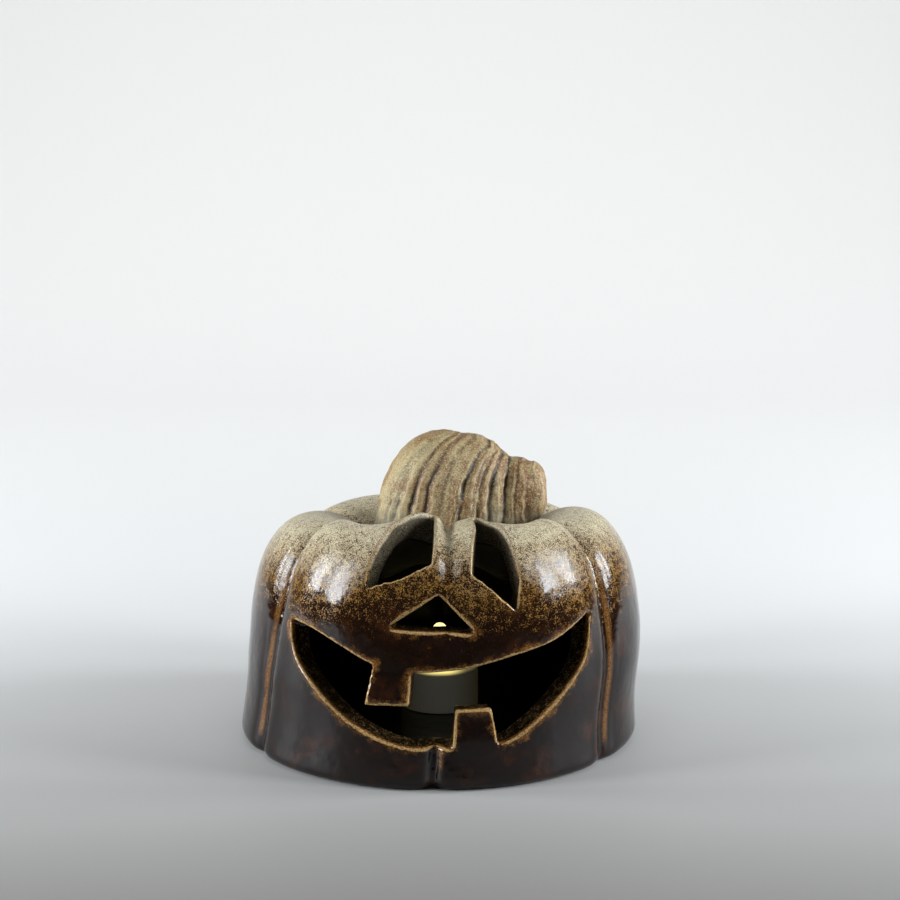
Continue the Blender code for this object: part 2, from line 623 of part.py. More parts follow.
def make_cell(collection, looks):
    """A coin cell: a can that is one pole, a cap that is the other, and the gasket between them."""
    place = TEALIGHT_PLACE + Vector((0, CELL_Y, CELL_FOOT))
    radius, sheet, slack = CELL_RADIUS, CELL_SHEET, CELL_SLACK
    rim = CELL_HEIGHT - sheet
    gasket_out = radius - sheet - slack
    gasket_in = gasket_out - 2 * sheet
    cap = gasket_in - slack
    floor = sheet + slack
    outlines = {
        "coin_cell_can": [(0, sheet), (radius - sheet, sheet), (radius - sheet, rim), (radius, rim), (radius, 0),
                          (0, 0)],
        "coin_cell_gasket": [(gasket_in, rim), (gasket_out, rim), (gasket_out, floor), (gasket_in, floor),
                             (gasket_in, rim)],
        "coin_cell_cap": [(0, CELL_HEIGHT), (cap - sheet, CELL_HEIGHT), (cap, rim), (cap, floor), (0, floor)],
    }
    for name, outline in outlines.items():
        look = looks["gasket"] if name == "coin_cell_gasket" else looks["steel"]
        piece = add_mesh(name, turned_mesh(outline, CELL_STEPS), collection, look)
        piece.location = place
        shade(piece)


def strip_mesh(path):
    """A bent metal strip that follows a path of (x, height), as wide as STRIP_WIDTH along Y."""
    path = [Vector((x * MM, 0, z * MM)) for x, z in path]
    above, below = [], []
    for i, point in enumerate(path):
        along = (path[min(i + 1, len(path) - 1)] - path[max(i - 1, 0)]).normalized()
        across = Vector((-along.z, 0, along.x)) * (STRIP_THICK / 2)
        above.append(point + across)
        below.append(point - across)
    outline = above + below[::-1]
    half = Vector((0, STRIP_WIDTH / 2, 0))
    return loft([[p - half for p in outline], [p + half for p in outline]])


def make_contacts(collection, look):
    for name, path in (("positive_contact", POSITIVE_PATH), ("negative_contact", NEGATIVE_PATH)):
        strip = add_mesh(name, strip_mesh(path), collection, look)
        strip.location = TEALIGHT_PLACE + Vector((0, STRIP_Y, 0))


def make_switch_knob(collection, look):
    """The knob sits in its slot, and its flange slides on the plate's inner face."""
    foot = KNOB_RECESS
    knob = add_mesh("switch_knob", box_mesh((SWITCH_KNOB.x, SWITCH_KNOB.y, SWITCH_KNOB.z),
                                            (0, 0, foot + SWITCH_KNOB.z / 2)), collection, look)
    flange_centre = (0, 0, PLATE + GAP + SWITCH_FLANGE.z / 2)
    boolean(knob, box_mesh(SWITCH_FLANGE, flange_centre), "UNION")
    for step in (-1, 0, 1):
        boolean(knob, box_mesh((KNOB_NOTCH[0], 2 * SWITCH_KNOB.y, KNOB_NOTCH[1]), (step * KNOB_PITCH, 0, foot)))
    knob.location = TEALIGHT_PLACE + Vector((0, SWITCH_Y, 0))


def main():
    clear_scene()
    parts = new_collection("jack_o_lantern")
    cutters = new_collection("cutters")
    cutters.hide_render = True
    looks = {
        "glaze": material("brown_glaze", (0.075, 0.034, 0.016), 0.22),
        "stem": material("ash_glaze", (0.42, 0.36, 0.26), 0.7),
        "plastic": material("white_plastic", (0.82, 0.81, 0.76), 0.45),
        "flame": material("flame_plastic", (1.0, 0.86, 0.5), 0.35),
        "epoxy": material("yellow_epoxy", (0.95, 0.8, 0.35), 0.15),
        "steel": material("bright_steel", (0.72, 0.72, 0.7), 0.3, 1.0),
        "gasket": material("grey_gasket", (0.2, 0.2, 0.2), 0.6),
        "switch": material("black_plastic", (0.04, 0.04, 0.045), 0.5),
    }
    make_shell(parts, looks["glaze"])
    make_stem(parts, looks["stem"])
    make_casing(parts, looks["plastic"])
    make_lens(parts, looks["flame"])
    make_led(parts, looks)
    make_base_plate(parts, looks["plastic"])
    make_battery_cover(parts, looks["plastic"])
    make_cell(parts, looks)
    make_contacts(parts, looks["steel"])
    make_switch_knob(parts, looks["switch"])


main()
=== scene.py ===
"""The looks of a hand-built stoneware jack-o'-lantern with a battery tealight inside.

The shell and the stem are built again from the CAD's own dimensions, at a much finer step: they are cut and
remeshed, so that every cut edge is rounded, and then carry what their glazes need to know as attributes. The
tealight's visible pieces are turned again with rounded edges, and the pieces inside it keep their CAD meshes.
"""

import math

import bmesh
import bpy
import numpy as np
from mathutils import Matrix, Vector, noise
from mathutils.bvhtree import BVHTree
from mathutils.kdtree import KDTree


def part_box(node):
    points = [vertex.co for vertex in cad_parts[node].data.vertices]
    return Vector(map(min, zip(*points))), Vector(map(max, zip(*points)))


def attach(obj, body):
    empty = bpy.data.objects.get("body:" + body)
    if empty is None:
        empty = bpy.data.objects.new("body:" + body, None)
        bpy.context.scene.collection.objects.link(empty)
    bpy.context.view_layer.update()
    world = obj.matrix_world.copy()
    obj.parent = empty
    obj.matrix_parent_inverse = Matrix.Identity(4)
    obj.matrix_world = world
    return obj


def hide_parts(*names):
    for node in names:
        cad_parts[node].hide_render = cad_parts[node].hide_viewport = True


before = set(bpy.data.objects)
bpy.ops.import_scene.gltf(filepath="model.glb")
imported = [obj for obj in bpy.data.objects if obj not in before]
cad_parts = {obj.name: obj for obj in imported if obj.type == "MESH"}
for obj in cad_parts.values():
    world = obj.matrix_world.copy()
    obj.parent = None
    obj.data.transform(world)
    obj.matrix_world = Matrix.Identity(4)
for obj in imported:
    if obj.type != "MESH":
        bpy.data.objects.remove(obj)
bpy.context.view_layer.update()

MM = 0.001

# The body, in the CAD's dimensions
BODY_RADIUS = 97.5 * MM
BELLY_RADIUS = 96.3 * MM
FOOT_RADIUS = 5 * MM
WAIST = 1 * MM
BELLY_HEIGHT = 41 * MM
CREST_RADIUS = 62 * MM
CREST_HEIGHT = 112 * MM
SEAT_RADIUS = 30 * MM
SEAT_HEIGHT = 98 * MM
SHOULDER_FULLNESS = 2.4
WALL = 11.5 * MM
FLOOR = 10 * MM
INNER_FOOT_RADIUS = 9 * MM
GROOVES_DEG = (-62, 0, 57, 120, 180, 240)  # round from the front, towards +X
TURN_DEG = (-1.8, 1.2)
LOBE_DEPTH = (0.6 * MM, 4.6 * MM)
GROOVE_DEPTH = (2.2 * MM, 3.0 * MM)
GROOVE_DEG = 3.5
HALF_LOBE_DEG = 30
FRONT_GROOVE = 0.25  # the share of its depth that the front groove keeps on the face
FRONT_FADE = ((22 * MM, 34 * MM), (84 * MM, 102 * MM))  # the heights where it sinks to that, and rises again
LOBES_DEEPEN = (20 * MM, 100 * MM)
LOBES_FADE = (8 * MM, 40 * MM)
SHOULDER_MIDDLE = 65 * MM
LEAN = (-1.2 * MM, 2.2 * MM)
LEAN_HEIGHT = 60 * MM
TOP_SHAPING = (50 * MM, 105 * MM)
FACE_RISE = 8 * MM
SIDE_DROP = 1.2 * MM
SWELLINGS = (  # on the brows and shoulders: their middle (x, y), how high they stand and how wide, in mm
    (-5, -36, 13.5, 9), (11.5, -35, 8, 9), (-47, -43, 2.5, 9), (48, -43, 3, 9),
    (66, 4, 1.5, 15), (-66, 0, -1, 15), (-29, -42, -8, 8), (31, -42, -9, 8),
    (-16, -44, 4, 6.5), (20, -43, 5, 6.5), (27, -27, -5, 8), (-29, -27, -3, 8),
)
MOUTH_FAN_HEIGHT = 40 * MM
NOSE_FAN_HEIGHT = 78 * MM
MOUTH_CUT = (0.74, 1.15)  # each cut's two ends, as shares of the way from its apex to its outline
NOSE_CUT = (0.7, 1.2)
EYE_CUT = (0.45, 1.7)
# The mouth's and the nose's outlines are in degrees and mm of height, the eyes' in mm on a sloping plane
UPPER_LIP = ((-51, 75.5), (-41, 73.5), (-31, 68), (-20, 60.5), (-8, 57.5), (6, 59), (20, 64), (34, 69.2),
             (48.4, 79.8))
LOWER_LIP = ((-51, 75.5), (-47.4, 58.5), (-37.5, 43.5), (-26, 30), (-12, 21.2), (2, 19.6), (17, 21.3),
             (27.3, 30.5), (36.8, 44), (44.6, 58.5), (48.4, 79.8))
UPPER_TOOTH = ((-8.3, 57.5), (-8.8, 41.2), (-21.4, 40.6), (-19.6, 60.3))
LOWER_TOOTH = ((3.2, 19.7), (4.2, 38.4), (14.7, 38.9), (16.3, 21))
NOSE = ((-16.2, 76.4), (10.5, 74.3), (-0.8, 94))
EYE_PLANE = Vector((0, -70 * MM, 108 * MM))
EYE_PLANE_LEAN_DEG = 45
EYE_FANS = (Vector((-12 * MM, -42 * MM, 45 * MM)), Vector((18 * MM, -42 * MM, 45 * MM)))
LEFT_EYE = ((0.5, 51), (-2.5, 19), (-5, -11.5), (-18, -17), (-35.5, -18), (-33, -11.5), (-23.5, 4),
            (-19.5, 21), (-12, 40))
RIGHT_EYE = ((14.5, 38), (16.5, 10), (14.7, -15.5), (22, -20), (36.5, -28.5), (36, -14), (33, -7), (27.5, 8),
             (23.5, 21), (18.5, 34))

# How finely the body is built again, and what handwork adds to it
AROUND = 720
ROW_STEP = 0.9 * MM
SHELL_VOXEL = 0.8 * MM
SHELL_SMOOTHING = 5
BULGE_ROUNDS = 14  # of smoothing, against which an edge stands out
WOBBLE = ((0.45 * MM, 45 * MM), (0.16 * MM, 14 * MM))  # how far the hand strays, and over what length
NOTCH_DEG = 0.9  # the tool's own sharp line along each groove
NOTCH_DEPTH = 1.1 * MM
# In front: its half width in degrees, its depth, and the heights between which it ends
FRONT_NOTCH = (1.7, 2.2 * MM, (20 * MM, 28 * MM))
# Over which degrees and heights a tooth's face is tilted, and how far out it is at the second height
TOOTH_TILTS = (
    ((-22, -8), (57 * MM, 42 * MM), 2 * MM), ((2.5, 17), (22 * MM, 38 * MM), -2.2 * MM),
)
TOOTH_EDGE_DEG = 1
PROFILE_STEPS = (60, 120, 12)  # along the top and the wall, the shoulder, and the foot's corner
LIP_STEPS = (9, 6)  # between two points of the lower and the upper lip
FINE_DEG = 2  # the widest side of an outline that follows the round body
RIM_DEPTH = (1.0 * MM, 2.2 * MM)  # how far below the outer skin a cut's edge is looked for
TOOTH_ROOM = 0.3  # degrees beside a tooth that the lips' own points keep away
STRIP_SIDE_X = -30 * MM  # left of here the golden strips lie on the other side of their grooves
STRIP_DEG = ((0.8, 1.5), (2.0, 3.2))  # how far from the groove a strip starts and ends, and over what heights
STRIP_LOW = (7 * MM, 14 * MM)
STRIP_HIGH = (78 * MM, 98 * MM)
FRONT_SHADOW = (1.0, 1.7)  # degrees left of the front groove, and half as wide

# The stem: stations along X, how low and how high it reaches there, and half its depth
STEM_Y = 9 * MM
STEM = (
    (-32, 97, 100, 3), (-31, 95, 110, 9), (-28.8, 94, 122, 15), (-24.8, 93, 131, 20), (-19, 92, 139.4, 24.5),
    (-12, 91, 145.4, 27), (-4, 91, 148.6, 28), (4, 91, 149, 27.5), (12, 91, 147.6, 26), (20, 92, 146.4, 23.5),
    (26, 93, 143.4, 21), (30, 94, 139.2, 18.5), (34, 96, 136.4, 17), (40, 100, 135.4, 16),
    (46, 104, 133.6, 14.5), (50, 108, 130, 12), (52, 113, 124.5, 6),
)
STEM_FULLNESS = 2.3
STEM_WIDEST = (0.25, 0.5)  # the share of the height where it is deepest: where it stands, and at its free tip
STEM_TIP = (24, 42)  # between these stations it goes from one to the other
STEM_AROUND = 260
STEM_STEPS = 22  # rings between two stations
STEM_VOXEL = 0.5 * MM
STEM_SMOOTHING = 2
STEM_FLARE = 1.6 * MM  # how far its foot is smeared out onto the body, and over what height
STEM_FLARE_HEIGHT = 3.5 * MM
STEM_FOOT = 100 * MM
# For a groove that starts here at the foot (x): how far it leans over at the ridge, and how high that is
STEM_LEANS = (
    (-40, 44, 49), (-34, 40, 49), (-24, 31, 49), (-16, 25, 48.5), (-9, 20.5, 48),
    (8, 16, 43), (17, 10, 41), (23, 7, 38), (30.5, 4, 36), (45, 0, 33), (60, 0, 33),
)
STEM_FOLDS = (-24, -16, -9, 8, 17.5, 23, 30.5, 43)  # where the broad folds between the ridges start (x)
STEM_RUN_OUT = 0.6  # the share of their depth that grooves lose between these heights
STEM_RUN = (122 * MM, 146 * MM)
STEM_FOLD = (0.8 * MM, 2.4)  # how deep such a fold is, and its half width in mm
STEM_GROOVES = (  # where each drawn line starts (x), its half width and its depth, all in mm
    (-27.5, 0.8, 0.25), (-24, 0.6, 0.2), (-20, 0.5, 0.15), (-16, 0.9, 0.5), (-12.5, 0.5, 0.25),
    (-9, 0.9, 0.6), (-4.5, 0.5, 0.2), (-1.5, 0.6, 0.3), (1, 0.5, 0.25), (4.5, 0.6, 0.3),
    (8, 1.0, 0.8), (11, 0.5, 0.4), (14.5, 0.7, 0.5), (17.5, 0.8, 0.7), (20, 0.5, 0.3), (23, 0.8, 1.2),
    (26, 0.45, 0.3), (28, 0.5, 0.35), (30.5, 0.8, 1.3), (36, 0.8, 0.4), (41.5, 0.7, 0.4), (45, 0.5, 0.3),
)
STEM_DRIFT = ((1.5, 13 * MM), (0.7, 4 * MM))  # how many mm the grooves stray, and over what length
STEM_LUMPS = ((0.35 * MM, 5 * MM), (0.16 * MM, 1.8 * MM))
STEM_STREAK = 0.4 * MM  # how far the fine streaks between the grooves stand out
STREAK_RATES = (1.1, 0.05, 0.03)  # how fast they change from groove to groove, in depth and upwards, a mm
STEM_UNEVEN = (1.1, 11 * MM)  # the share by which the grooves' depth varies, and over what length
STEM_BULGE_ROUNDS = 30
STEM_HALVINGS = 18  # of the range in which a groove's start is looked for

# The tealight stands at its casing's middle
CASE_LOW, CASE_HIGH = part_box("tealight_casing")
TEALIGHT = Vector(((CASE_LOW.x + CASE_HIGH.x) / 2, (CASE_LOW.y + CASE_HIGH.y) / 2, CASE_LOW.z))
CASE_RADIUS = 19 * MM
CASE_HEIGHT = 22.4 * MM
CASE_WALL = 1.2 * MM
CASE_DISH = 2.8 * MM
LENS_RADIUS = 4.9 * MM
LENS_TOP = 41.2 * MM
LENS_WALL = 0.9 * MM
FLAME_FULLNESS = 2.6
GAP = 0.3 * MM
TURNED_AROUND = 128
CASE_LIP = 0.35 * MM  # the casing's smallest rounding
# In mm, how far inwards its other roundings lie and their radius: the dish's, the rim's inner and outer one
CASE_EDGES = ((3.8, 1.2), (1.9, 0.7), (1.1, 1.1))
CASE_STEPS = (6, 6, 8, 4)  # round these three and the smallest
FLAME_BULGE = 6 * MM  # how far above the casing the flame starts to narrow
FLAME_STEPS = 30
LENS_FLANGE = 2 * MM
LENS_FOOT = 1.2 * MM
SHARP_DEG = 50  # edges that turn by more than this stay sharp
# The casing's painted glow: emission at its top that stands in for the flame's light
GLOW_DEPTHS = (3.4 * MM, 0.6 * MM)  # below the casing's top its glow starts and is full
GLOW_REACH = (3 * MM, 14 * MM)  # beside the flame it fades between these
LEAST_GLOW = 0.008
CASE_GLOW = 1.2
FLAME_GLOW = 1.5

# The glaze goes by a height in metres that clouds, the way back and level places shift by so much
CLOUD_SHIFT = 0.034
BACK_SHIFT = 0.017
LEVEL_SHIFT = 0.011
BACK = 0.085  # from this far in front to this far behind
# The shifted heights between which it changes
GROUND = (0.03, 0.13)  # from black to sandy under its specks
SAND = (0.090, 0.124)  # to the dry sandy coat
SPECKS = (0.050, 0.100)  # to many specks
DENSE_SPECKS = (0.094, 0.124)  # to specks that close up
GOLD = (0.058, 0.092)  # the specks from amber to gold
DULL = (0.108, 0.126)  # the specks from glossy to dry
BAND_REACH = (6.8, 10.8)  # mm beside a cut where its rusty band ends

# The camera stands where its line of sight to the foot's middle falls at this angle
CAMERA_DISTANCE = 1.44
CAMERA_RISE_DEG = 18
CAMERA_TILT_DEG = 12.496  # below level
CAMERA_TURN_DEG = -0.189
CAMERA_LENS = 115.4

# The stage and its lights, in metres, degrees and watts
FLOOR_HALF_WIDTH = 4.0
FLOOR_FRONT = -3.0
FLOOR_BACK = 2.2
FLOOR_RISE = 3.0
SWEEP_RADIUS = 1.4
SWEEP_STEPS = 24
FLOOR_COLOURS = ((0.100, 0.092, 0.082), (0.62, 0.62, 0.61))  # in front and behind; the dark front is painted shade, which also dims its reflection in the glaze
FLOOR_FADE = (-0.45, 0.35)  # where it goes from one to the other
WORLD_COLOUR = (0.93, 0.96, 1.0, 1)
WORLD_STRENGTH = 0.10
LIT_HEIGHT = 0.08  # the lamps face this height over the foot's middle
DAYLIGHT = (0.90, 0.95, 1.0)
WINDOW_RISES = ((-1, 19), (1, 23))  # how high they stand on the left and on the right
WINDOW_TURNS = (70, 93)  # how far round the two on each side stand
WINDOW_SIZE = (0.29, 0.44)
WINDOW_DISTANCE = 1.2
WINDOW_POWER = 12


# ---- general tools

def smooth_step(start, end, value):
    share = np.clip((value - start) / (end - start), 0, 1)
    return share * share * (3 - 2 * share)


def between(ends, share):
    return ends[0] + (ends[1] - ends[0]) * share


def through(points, steps):
    """A smooth curve through points, with this many steps between each two."""
    ends = [2 * np.array(points[0], float) - points[1], *map(np.array, points),
            2 * np.array(points[-1], float) - points[-2]]
    curve = []
    for before, here, there, after in zip(ends, ends[1:], ends[2:], ends[3:]):
        for step in range(steps):
            t = step / steps
            curve.append(0.5 * (2 * here + (there - before) * t
                                + (2 * before - 5 * here + 4 * there - after) * t ** 2
                                + (3 * here - before - 3 * there + after) * t ** 3))
    return [*curve, np.array(points[-1], float)]


def arc(centre, radii, start_deg, end_deg, steps, fullness=2.0):
    """Points of a quarter-like arc in (radius, height); fullness above 2 squares it."""
    points = []
    for step in range(steps + 1):
        angle = math.radians(start_deg + (end_deg - start_deg) * step / steps)
        across = math.copysign(abs(math.cos(angle)) ** (2 / fullness), math.cos(angle))
        up = math.copysign(abs(math.sin(angle)) ** (2 / fullness), math.sin(angle))
        points.append((centre[0] + radii[0] * across, centre[1] + radii[1] * up))
    return points


def mesh_from(name, points, faces):
    mesh = bpy.data.meshes.new(name)
    mesh.from_pydata([tuple(p) for p in points], [], faces)
    return mesh


def face_outwards(mesh, in_triangles=False):
    cage = bmesh.new()
    cage.from_mesh(mesh)
    if in_triangles:
        bmesh.ops.triangulate(cage, faces=cage.faces)
    bmesh.ops.recalc_face_normals(cage, faces=cage.faces)
    cage.to_mesh(mesh)
    cage.free()


def add_object(name, mesh):
    obj = bpy.data.objects.new(name, mesh)
    bpy.context.scene.collection.objects.link(obj)
    return obj


def applied(obj):
    """The object's mesh with its modifiers applied; the object itself is removed."""
    bpy.context.view_layer.update()
    graph = bpy.context.evaluated_depsgraph_get()
    mesh = bpy.data.meshes.new_from_object(obj.evaluated_get(graph))
    bpy.data.objects.remove(obj, do_unlink=True)
    return mesh


def turned(profile, around):
    """Points and faces of an outline (radius, height) turned about Z; its two ends lie on the axis."""
    profile = np.array(profile, float)
    angle = np.arange(around) * 2 * math.pi / around
    rows = profile[1:-1]
    ring = np.stack([np.sin(angle), -np.cos(angle)], 1)
    points = np.concatenate([
        [[0, 0, profile[0][1]]],
        np.concatenate([rows[:, None, :1] * ring[None],
                        np.repeat(rows[:, None, 1:], around, 1)], 2).reshape(-1, 3),
        [[0, 0, profile[-1][1]]],
    ])
    here = np.arange(around)
    there = (here + 1) % around
    faces = [(0, 1 + a, 1 + b) for a, b in zip(here.tolist(), there.tolist())]
    for row in range(len(rows) - 1):
        base = 1 + row * around
        quads = np.stack([base + here, base + around + here, base + around + there, base + there], 1)
        faces += [tuple(q) for q in quads.tolist()]
    last = len(points) - 1
    base = 1 + (len(rows) - 1) * around
    faces += [(last, base + b, base + a) for a, b in zip(here.tolist(), there.tolist())]
    return points, faces


def coordinates(mesh):
    values = np.empty(len(mesh.vertices) * 3)
    mesh.vertices.foreach_get("co", values)
    return values.reshape(-1, 3)


def normals(mesh):
    values = np.empty(len(mesh.vertices) * 3)
    mesh.vertex_normals.foreach_get("vector", values)
    return values.reshape(-1, 3)


def edge_ends(mesh):
    values = np.empty(len(mesh.edges) * 2, int)
    mesh.edges.foreach_get("vertices", values)
    return values.reshape(-1, 2)


def place_vertices(mesh, points):
    mesh.vertices.foreach_set("co", points.reshape(-1))
    mesh.update()


def smoothed(points, edges, rounds):
    """Each point moved halfway to the middle of its neighbours, this many times."""
    count = np.bincount(edges.ravel(), minlength=len(points))
    for _ in range(rounds):
        middle = np.empty_like(points)
        for axis in range(3):
            values = points[:, axis]
            middle[:, axis] = (np.bincount(edges[:, 0], values[edges[:, 1]], len(points))
                               + np.bincount(edges[:, 1], values[edges[:, 0]], len(points))) / count
        points = (points + middle) / 2
    return points


def give_values(mesh, name, values):
    mesh.attributes.new(name, "FLOAT", "POINT").data.foreach_set("value", np.asarray(values, np.float32))


def remeshed(obj, voxel):
    modifier = obj.modifiers.new("one_skin", "REMESH")
    modifier.mode = "VOXEL"
    modifier.voxel_size = voxel
    return applied(obj)


# ---- the pumpkin's body

def body_profile(inset, foot, foot_radius):
    """The body's half outline from the middle of the top to the middle of the foot, in even steps."""
    crest = CREST_HEIGHT - inset
    seat = SEAT_HEIGHT - inset
    side = BODY_RADIUS - inset
    belly = BELLY_RADIUS - inset
    straight, round_steps, corner_steps = PROFILE_STEPS
    share = np.linspace(0, 1, straight)
    top = np.stack([between((SEAT_RADIUS, CREST_RADIUS), share),
                    crest + (seat - crest) * (0.5 + 0.5 * np.cos(math.pi * share))], 1)
    shoulder = arc((CREST_RADIUS, BELLY_HEIGHT), (belly - CREST_RADIUS, crest - BELLY_HEIGHT), 90, 0,
                   round_steps, SHOULDER_FULLNESS)
    wall = np.stack([between((belly, side), share) - WAIST * np.sin(math.pi * share),
                     between((BELLY_HEIGHT, foot + foot_radius), share)], 1)
    corner = arc((side - foot_radius, foot + foot_radius), (foot_radius, foot_radius), 0, -90, corner_steps)
    outline = np.concatenate([[(0, seat)], top[:-1], shoulder, wall[1:-1], corner, [(0, foot)]])
    length = np.concatenate([[0], np.cumsum(np.hypot(*np.diff(outline, axis=0).T))])
    even = np.linspace(0, length[-1], round(length[-1] / ROW_STEP))
    return np.stack([np.interp(even, length, outline[:, 0]), np.interp(even, length, outline[:, 1])], 1)


def groove_distance(azimuth):
    """Degrees to the nearest groove, counted towards +X."""
    away = (azimuth[:, None] - np.array(GROOVES_DEG, float) + 180) % 360 - 180
    nearest = np.abs(away).argmin(1)
    return away[np.arange(len(away)), nearest]


def lobe_depth(azimuth, height, radius, notch):
    """How far the surface sinks between the lobes; notch is 1 where the tool left its lines, and else 0."""
    nearest = np.abs(groove_distance(azimuth))
    rise = smooth_step(*LOBES_DEEPEN, height)
    broad = (1 - np.clip(nearest / HALF_LOBE_DEG, 0, 1)) ** 2 * between(LOBE_DEPTH, rise)
    kept = 1 - smooth_step(*FRONT_FADE[0], height) * (1 - smooth_step(*FRONT_FADE[1], height))
    kept = np.where(np.abs(azimuth) < HALF_LOBE_DEG, between((FRONT_GROOVE, 1), kept), 1)
    narrow = np.exp(-(nearest / GROOVE_DEG) ** 2) * between(GROOVE_DEPTH, rise) * kept
    front = np.abs(azimuth) < HALF_LOBE_DEG
    low = FRONT_NOTCH[1] * (1 - smooth_step(*FRONT_NOTCH[2], height))
    sharp = np.where(front, np.exp(-(nearest / FRONT_NOTCH[0]) ** 2) * low,
                     np.exp(-(nearest / NOTCH_DEG) ** 2) * NOTCH_DEPTH)
    return (broad + narrow + sharp * notch) * smooth_step(*LOBES_FADE, radius)


def give_lobes(points, notch):
    """Presses in the grooves, wrings and leans the form, lifts its face side and swells its brows."""
    x, y, z = points.T
    radius = np.hypot(x, y)
    azimuth = np.degrees(np.arctan2(x, -y))
    depth = lobe_depth(azimuth, z, radius, notch)
    out = np.maximum(radius - CREST_RADIUS, 0)
    up = np.maximum(z - SHOULDER_MIDDLE, 0)
    length = np.maximum(np.hypot(out, up), 1e-9)
    on_top = radius <= CREST_RADIUS
    outward = np.where(up > 0, out / length, np.where(on_top, 0, 1))
    upward = np.where(up > 0, np.where(on_top, 1, up / length), 0)
    radius = radius - depth * outward
    azimuth = np.radians(azimuth + between(TURN_DEG, smooth_step(0, CREST_HEIGHT, z)))
    z = z - depth * upward
    x = radius * np.sin(azimuth) + between(LEAN, smooth_step(0, LEAN_HEIGHT, z))
    y = -radius * np.cos(azimuth)
    high = smooth_step(*TOP_SHAPING, z)
    rise = FACE_RISE * np.cos(azimuth) + SIDE_DROP * np.cos(2 * azimuth)
    z = z + rise * high * smooth_step(0, CREST_RADIUS, radius)
    for middle_x, middle_y, rise, spread in SWELLINGS:
        away = np.hypot(x / MM - middle_x, y / MM - middle_y) / spread
        z = z + rise * MM * np.exp(-0.5 * away ** 2) * high
    return np.stack([x, y, z], 1)


def wobble(points, amount, length):
    """A smooth random offset for each point, the same in every run."""
    return np.array([noise.noise(Vector(p) / length) for p in points.tolist()]) * amount


def tooth_tilt(points):
    """How far the two teeth's faces stand out at each point."""
    azimuth = np.degrees(np.arctan2(points[:, 0], -points[:, 1]))
    offset = np.zeros(len(points))
    for (left, right), heights, reach in TOOTH_TILTS:
        across = (smooth_step(left - TOOTH_EDGE_DEG, left, azimuth)
                  * (1 - smooth_step(right, right + TOOTH_EDGE_DEG, azimuth)))
        up = smooth_step(0, 1, (points[:, 2] - heights[0]) / (heights[1] - heights[0]))
        beyond = np.abs(points[:, 2] - sum(heights) / 2) < abs(heights[1] - heights[0])
        offset += np.where(beyond, across * up * reach, 0)
    return offset


def outer_form():
    points, faces = turned(body_profile(0, 0, FOOT_RADIUS), AROUND)
    points = give_lobes(points, 1)
    mesh = mesh_from("outer_form", points, faces)
    stray = sum(wobble(points, *each) for each in WOBBLE) * smooth_step(0, 2 * FOOT_RADIUS, points[:, 2])
    stray = stray + tooth_tilt(points)
    place_vertices(mesh, points + normals(mesh) * stray[:, None])
    return mesh


def inner_form():
    points, faces = turned(body_profile(WALL, FLOOR, INNER_FOOT_RADIUS), AROUND // 2)
    return mesh_from("inner_form", give_lobes(points, 0), faces)


def fan_cutter(outline, apex, reach):
    """A solid that fans out from an apex through a closed outline, between two shares of the way to it."""
    count = len(outline)
    points = [apex + (p - apex) * share for share in reach for p in outline]
    faces = [(i, (i + 1) % count, count + (i + 1) % count, count + i) for i in range(count)]
    mesh = mesh_from("cutter", points, [*faces, tuple(range(count)), tuple(range(count, 2 * count))])
    face_outwards(mesh, in_triangles=True)
    return mesh


def round_body(azimuth_deg, height_mm):
    angle = math.radians(azimuth_deg)
    return Vector((BODY_RADIUS * math.sin(angle), -BODY_RADIUS * math.cos(angle), height_mm * MM))


def finer(outline):
    """The outline with each side divided, so that it follows the round body."""
    points = []
    for here, there in zip(outline, [*outline[1:], outline[0]]):
        here, there = np.array(here, float), np.array(there, float)
        count = max(1, math.ceil(abs(there[0] - here[0]) / FINE_DEG))
        points += [here + (there - here) * step / count for step in range(count)]
    return points


def mouth_outline():
    lower = through(LOWER_LIP, LIP_STEPS[0])
    upper = through(UPPER_LIP, LIP_STEPS[1])[-2:0:-1]
    left, right = LOWER_TOOTH[0][0] - TOOTH_ROOM, LOWER_TOOTH[-1][0] + TOOTH_ROOM
    outline = [p for p in lower if p[0] < left] + list(LOWER_TOOTH) + [p for p in lower if p[0] > right]
    left, right = UPPER_TOOTH[-1][0] - TOOTH_ROOM, UPPER_TOOTH[0][0] + TOOTH_ROOM
    outline += [p for p in upper if p[0] > right] + list(UPPER_TOOTH)
    return outline + [p for p in upper if p[0] < left]


def eye_outline(points):
    lean = math.radians(EYE_PLANE_LEAN_DEG)
    up_plane = Vector((0, math.cos(lean), math.sin(lean)))
    return [EYE_PLANE + Vector((x * MM, 0, 0)) + up_plane * (y * MM) for x, y in points]


def face_cutters():
    mouth = [round_body(*p) for p in mouth_outline()]
    nose = [round_body(*p) for p in finer(NOSE)]
    yield fan_cutter(mouth, Vector((0, 0, MOUTH_FAN_HEIGHT)), MOUTH_CUT)
    yield fan_cutter(nose, Vector((0, 0, NOSE_FAN_HEIGHT)), NOSE_CUT)
    for points, apex in zip((LEFT_EYE, RIGHT_EYE), EYE_FANS):
        yield fan_cutter(eye_outline(points), apex, EYE_CUT)


def cut_shell(outer, inner):
    """The body hollowed and carved, as one closed mesh of even small faces."""
    body = add_object("carving", outer.copy())
    tools = [add_object("tool", mesh) for mesh in (inner, *face_cutters())]
    for tool in tools:
        modifier = body.modifiers.new("cut", "BOOLEAN")
        modifier.operation = "DIFFERENCE"
        modifier.solver = "MANIFOLD"
        modifier.object = tool
    mesh = remeshed(body, SHELL_VOXEL)
    for tool in tools:
        bpy.data.objects.remove(tool, do_unlink=True)
    return mesh


def distances_to_surface(points, surface):
    tree = BVHTree.FromPolygons([tuple(p) for p in coordinates(surface).tolist()],
                                [tuple(f.vertices) for f in surface.polygons])
    return np.array([tree.find_nearest(p)[3] for p in points.tolist()])


